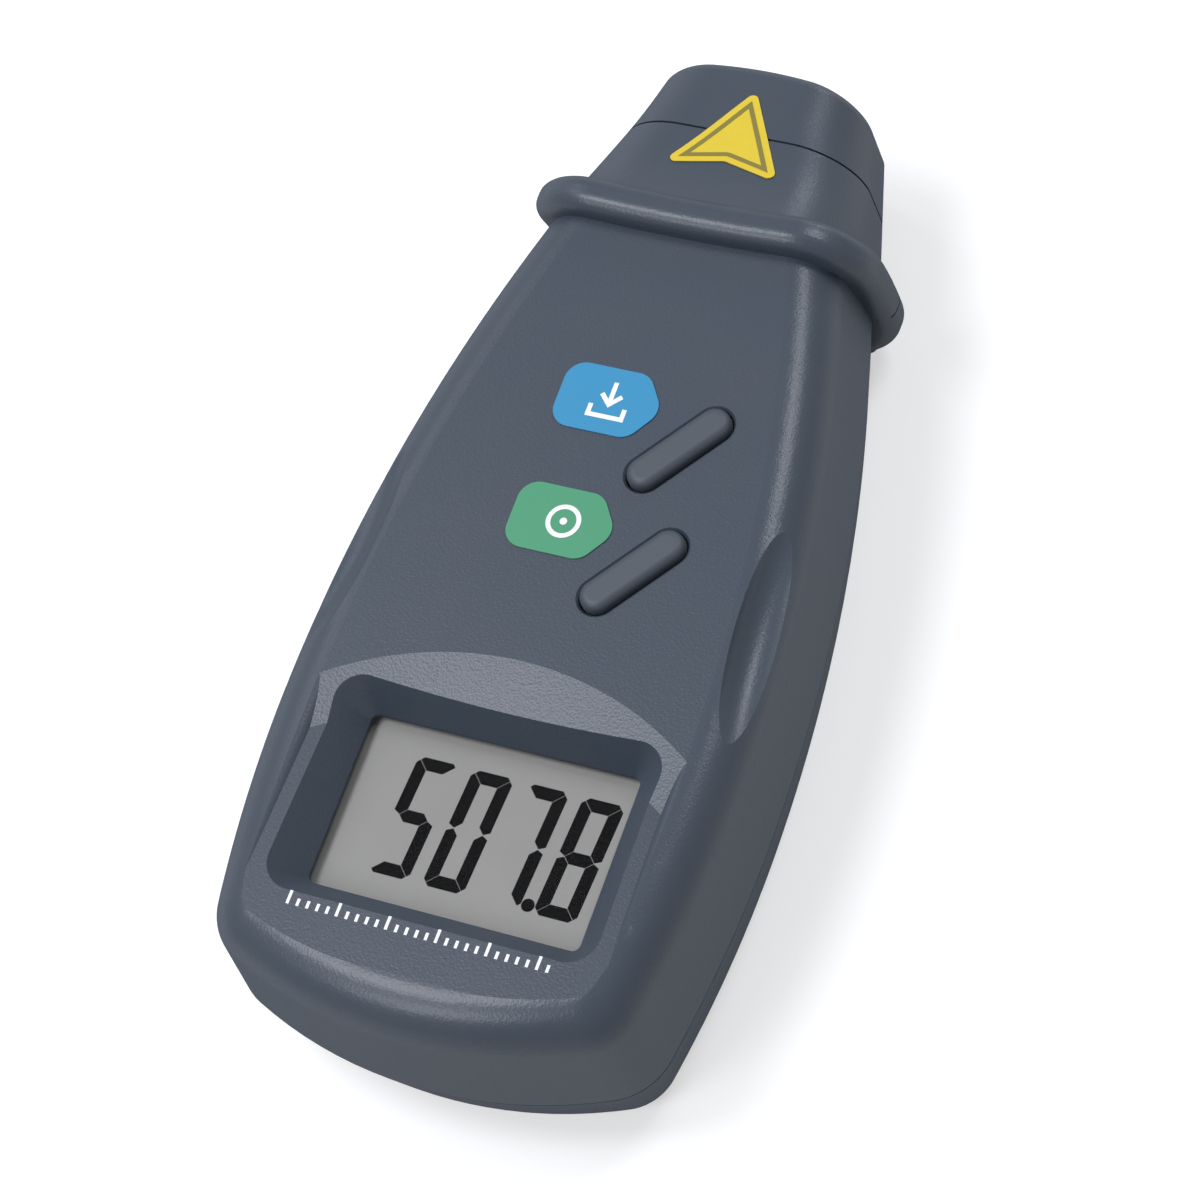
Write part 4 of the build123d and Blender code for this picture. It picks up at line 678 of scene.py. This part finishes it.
class TACHO_OT_stage(bpy.types.Operator):
    """Sets the floor, the softboxes, the room light and the camera"""

    bl_idname = "tacho.stage"
    bl_label = "Stage"

    def execute(self, context):
        look = context.scene.tacho_stage
        self.floor(look)
        self.room(context.scene, look.air)
        for name, place, width, setting in SOFTBOXES:
            self.lamp(name, place, width, getattr(look, setting))
        self.camera(context.scene, look.lens)
        context.scene.view_settings.view_transform = "Standard"
        return {"FINISHED"}

    @staticmethod
    def seen_directly(tree):
        """One where the camera, a reflection or a clear piece shows it, and nought for light on the object"""
        path = add_node(tree, "ShaderNodeLightPath", (-900, -200))
        eye, mirrored = path.outputs["Is Camera Ray"], path.outputs["Is Glossy Ray"]
        shown = maths(tree, "MAXIMUM", eye, mirrored, (-700, -200))
        return maths(tree, "MAXIMUM", shown, path.outputs["Is Transmission Ray"], (-500, -200))

    def floor(self, look):
        """Level floor that is nearly white where it is seen and keeps the shadow"""
        shape = bmesh.new()
        bmesh.ops.create_grid(shape, x_segments=2, y_segments=2, size=FLOOR_SIDE / 2)
        mesh = bpy.data.meshes.new("studio_floor")
        shape.to_mesh(mesh)
        shape.free()
        made, tree, shader = new_material("floor paper")
        texture = place_group(tree, ink_group, "Printed Ink", patch=FLOOR_PATCH)
        tone = tuple(look.floor)
        uneven = ramp(tree, texture.outputs["Density"], shade(tone, 0.995), tone)
        tree.links.new(uneven, shader.inputs["Base Color"])
        shader.inputs["Roughness"].default_value = FLOOR_ROUGHNESS
        shader.inputs["Emission Color"].default_value = (1.0, 1.0, 1.0, 1.0)
        lift = maths(tree, "MULTIPLY", self.seen_directly(tree), look.lift, (-300, -200))
        tree.links.new(lift, shader.inputs["Emission Strength"])
        mesh.materials.append(made)
        plane = bpy.data.objects.new("studio_floor", mesh)
        bpy.context.scene.collection.objects.link(plane)

    def room(self, scene, brightness):
        """Even room light, nearly white where it is seen"""
        world = bpy.data.worlds.new("studio room")
        world.use_nodes = True
        scene.world = world
        tree = world.node_tree
        background = tree.nodes["Background"]
        strength = between(tree, self.seen_directly(tree), brightness, ROOM_SEEN, (-300, 0))
        tree.links.new(strength, background.inputs["Strength"])
        background.inputs["Color"].default_value = (1.0, 1.0, 1.0, 1.0)

    @staticmethod
    def lamp(name, place, size, power):
        """Round softbox that looks at the object"""
        light = bpy.data.lights.new(name, "AREA")
        light.shape = "DISK"
        light.size = size
        light.energy = power
        light.color = LAMP_TINT
        lamp = bpy.data.objects.new(name, light)
        bpy.context.scene.collection.objects.link(lamp)
        lamp.location = place
        lamp.rotation_euler = (-Vector(place)).to_track_quat("-Z", "Y").to_euler()

    @staticmethod
    def camera(scene, lens):
        """Camera above the lower right of the object, turned so that the object leans to the right"""
        line = Vector(CAMERA_LINE).normalized()
        north = Vector((0, 1, 0))
        up = (north - line * line.dot(north)).normalized()
        right = up.cross(line)
        turned_right = math.cos(CAMERA_ROLL) * right + math.sin(CAMERA_ROLL) * up
        turned_up = math.cos(CAMERA_ROLL) * up - math.sin(CAMERA_ROLL) * right
        data = bpy.data.cameras.new("studio camera")
        data.lens = lens
        data.sensor_width = 36.0
        data.clip_start = 0.01
        view = bpy.data.objects.new("studio camera", data)
        scene.collection.objects.link(view)
        placed = Matrix((turned_right, turned_up, line)).transposed().to_4x4()
        placed.translation = Vector(CAMERA_PLACE)
        view.matrix_world = placed
        scene.camera = view


class TACHO_PT_panel(bpy.types.Panel):
    """Settings and steps of the tachometer"""

    bl_idname = "TACHO_PT_panel"
    bl_label = "Tachometer"
    bl_space_type = "VIEW_3D"
    bl_region_type = "UI"
    bl_category = "Tachometer"

    def draw(self, context):
        for owner, settings in SETTINGS:
            box = self.layout.box()
            group = getattr(context.scene, owner)
            for name in settings.__annotations__:
                box.prop(group, name)
        for step in STEPS:
            self.layout.operator(step.bl_idname)


SETTINGS = (
    ("tacho_case", CaseSettings),
    ("tacho_display", DisplaySettings),
    ("tacho_labels", LabelSettings),
    ("tacho_stage", StageSettings),
)
STEPS = (
    TACHO_OT_case,
    TACHO_OT_keys,
    TACHO_OT_display,
    TACHO_OT_labels,
    TACHO_OT_optics,
    TACHO_OT_electronics,
    TACHO_OT_fasteners,
    TACHO_OT_stage,
)


def register():
    for owner, settings in SETTINGS:
        bpy.utils.register_class(settings)
        setattr(bpy.types.Scene, owner, PointerProperty(type=settings))
    for item in (*STEPS, TACHO_PT_panel):
        bpy.utils.register_class(item)


def unregister():
    for item in reversed((*STEPS, TACHO_PT_panel)):
        bpy.utils.unregister_class(item)
    for owner, settings in reversed(SETTINGS):
        delattr(bpy.types.Scene, owner)
        bpy.utils.unregister_class(settings)


def main():
    """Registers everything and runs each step"""
    register()
    for step in STEPS:
        group, name = step.bl_idname.split(".")
        getattr(getattr(bpy.ops, group), name)()
    bpy.context.view_layer.update()


if __name__ == "__main__":
    main()
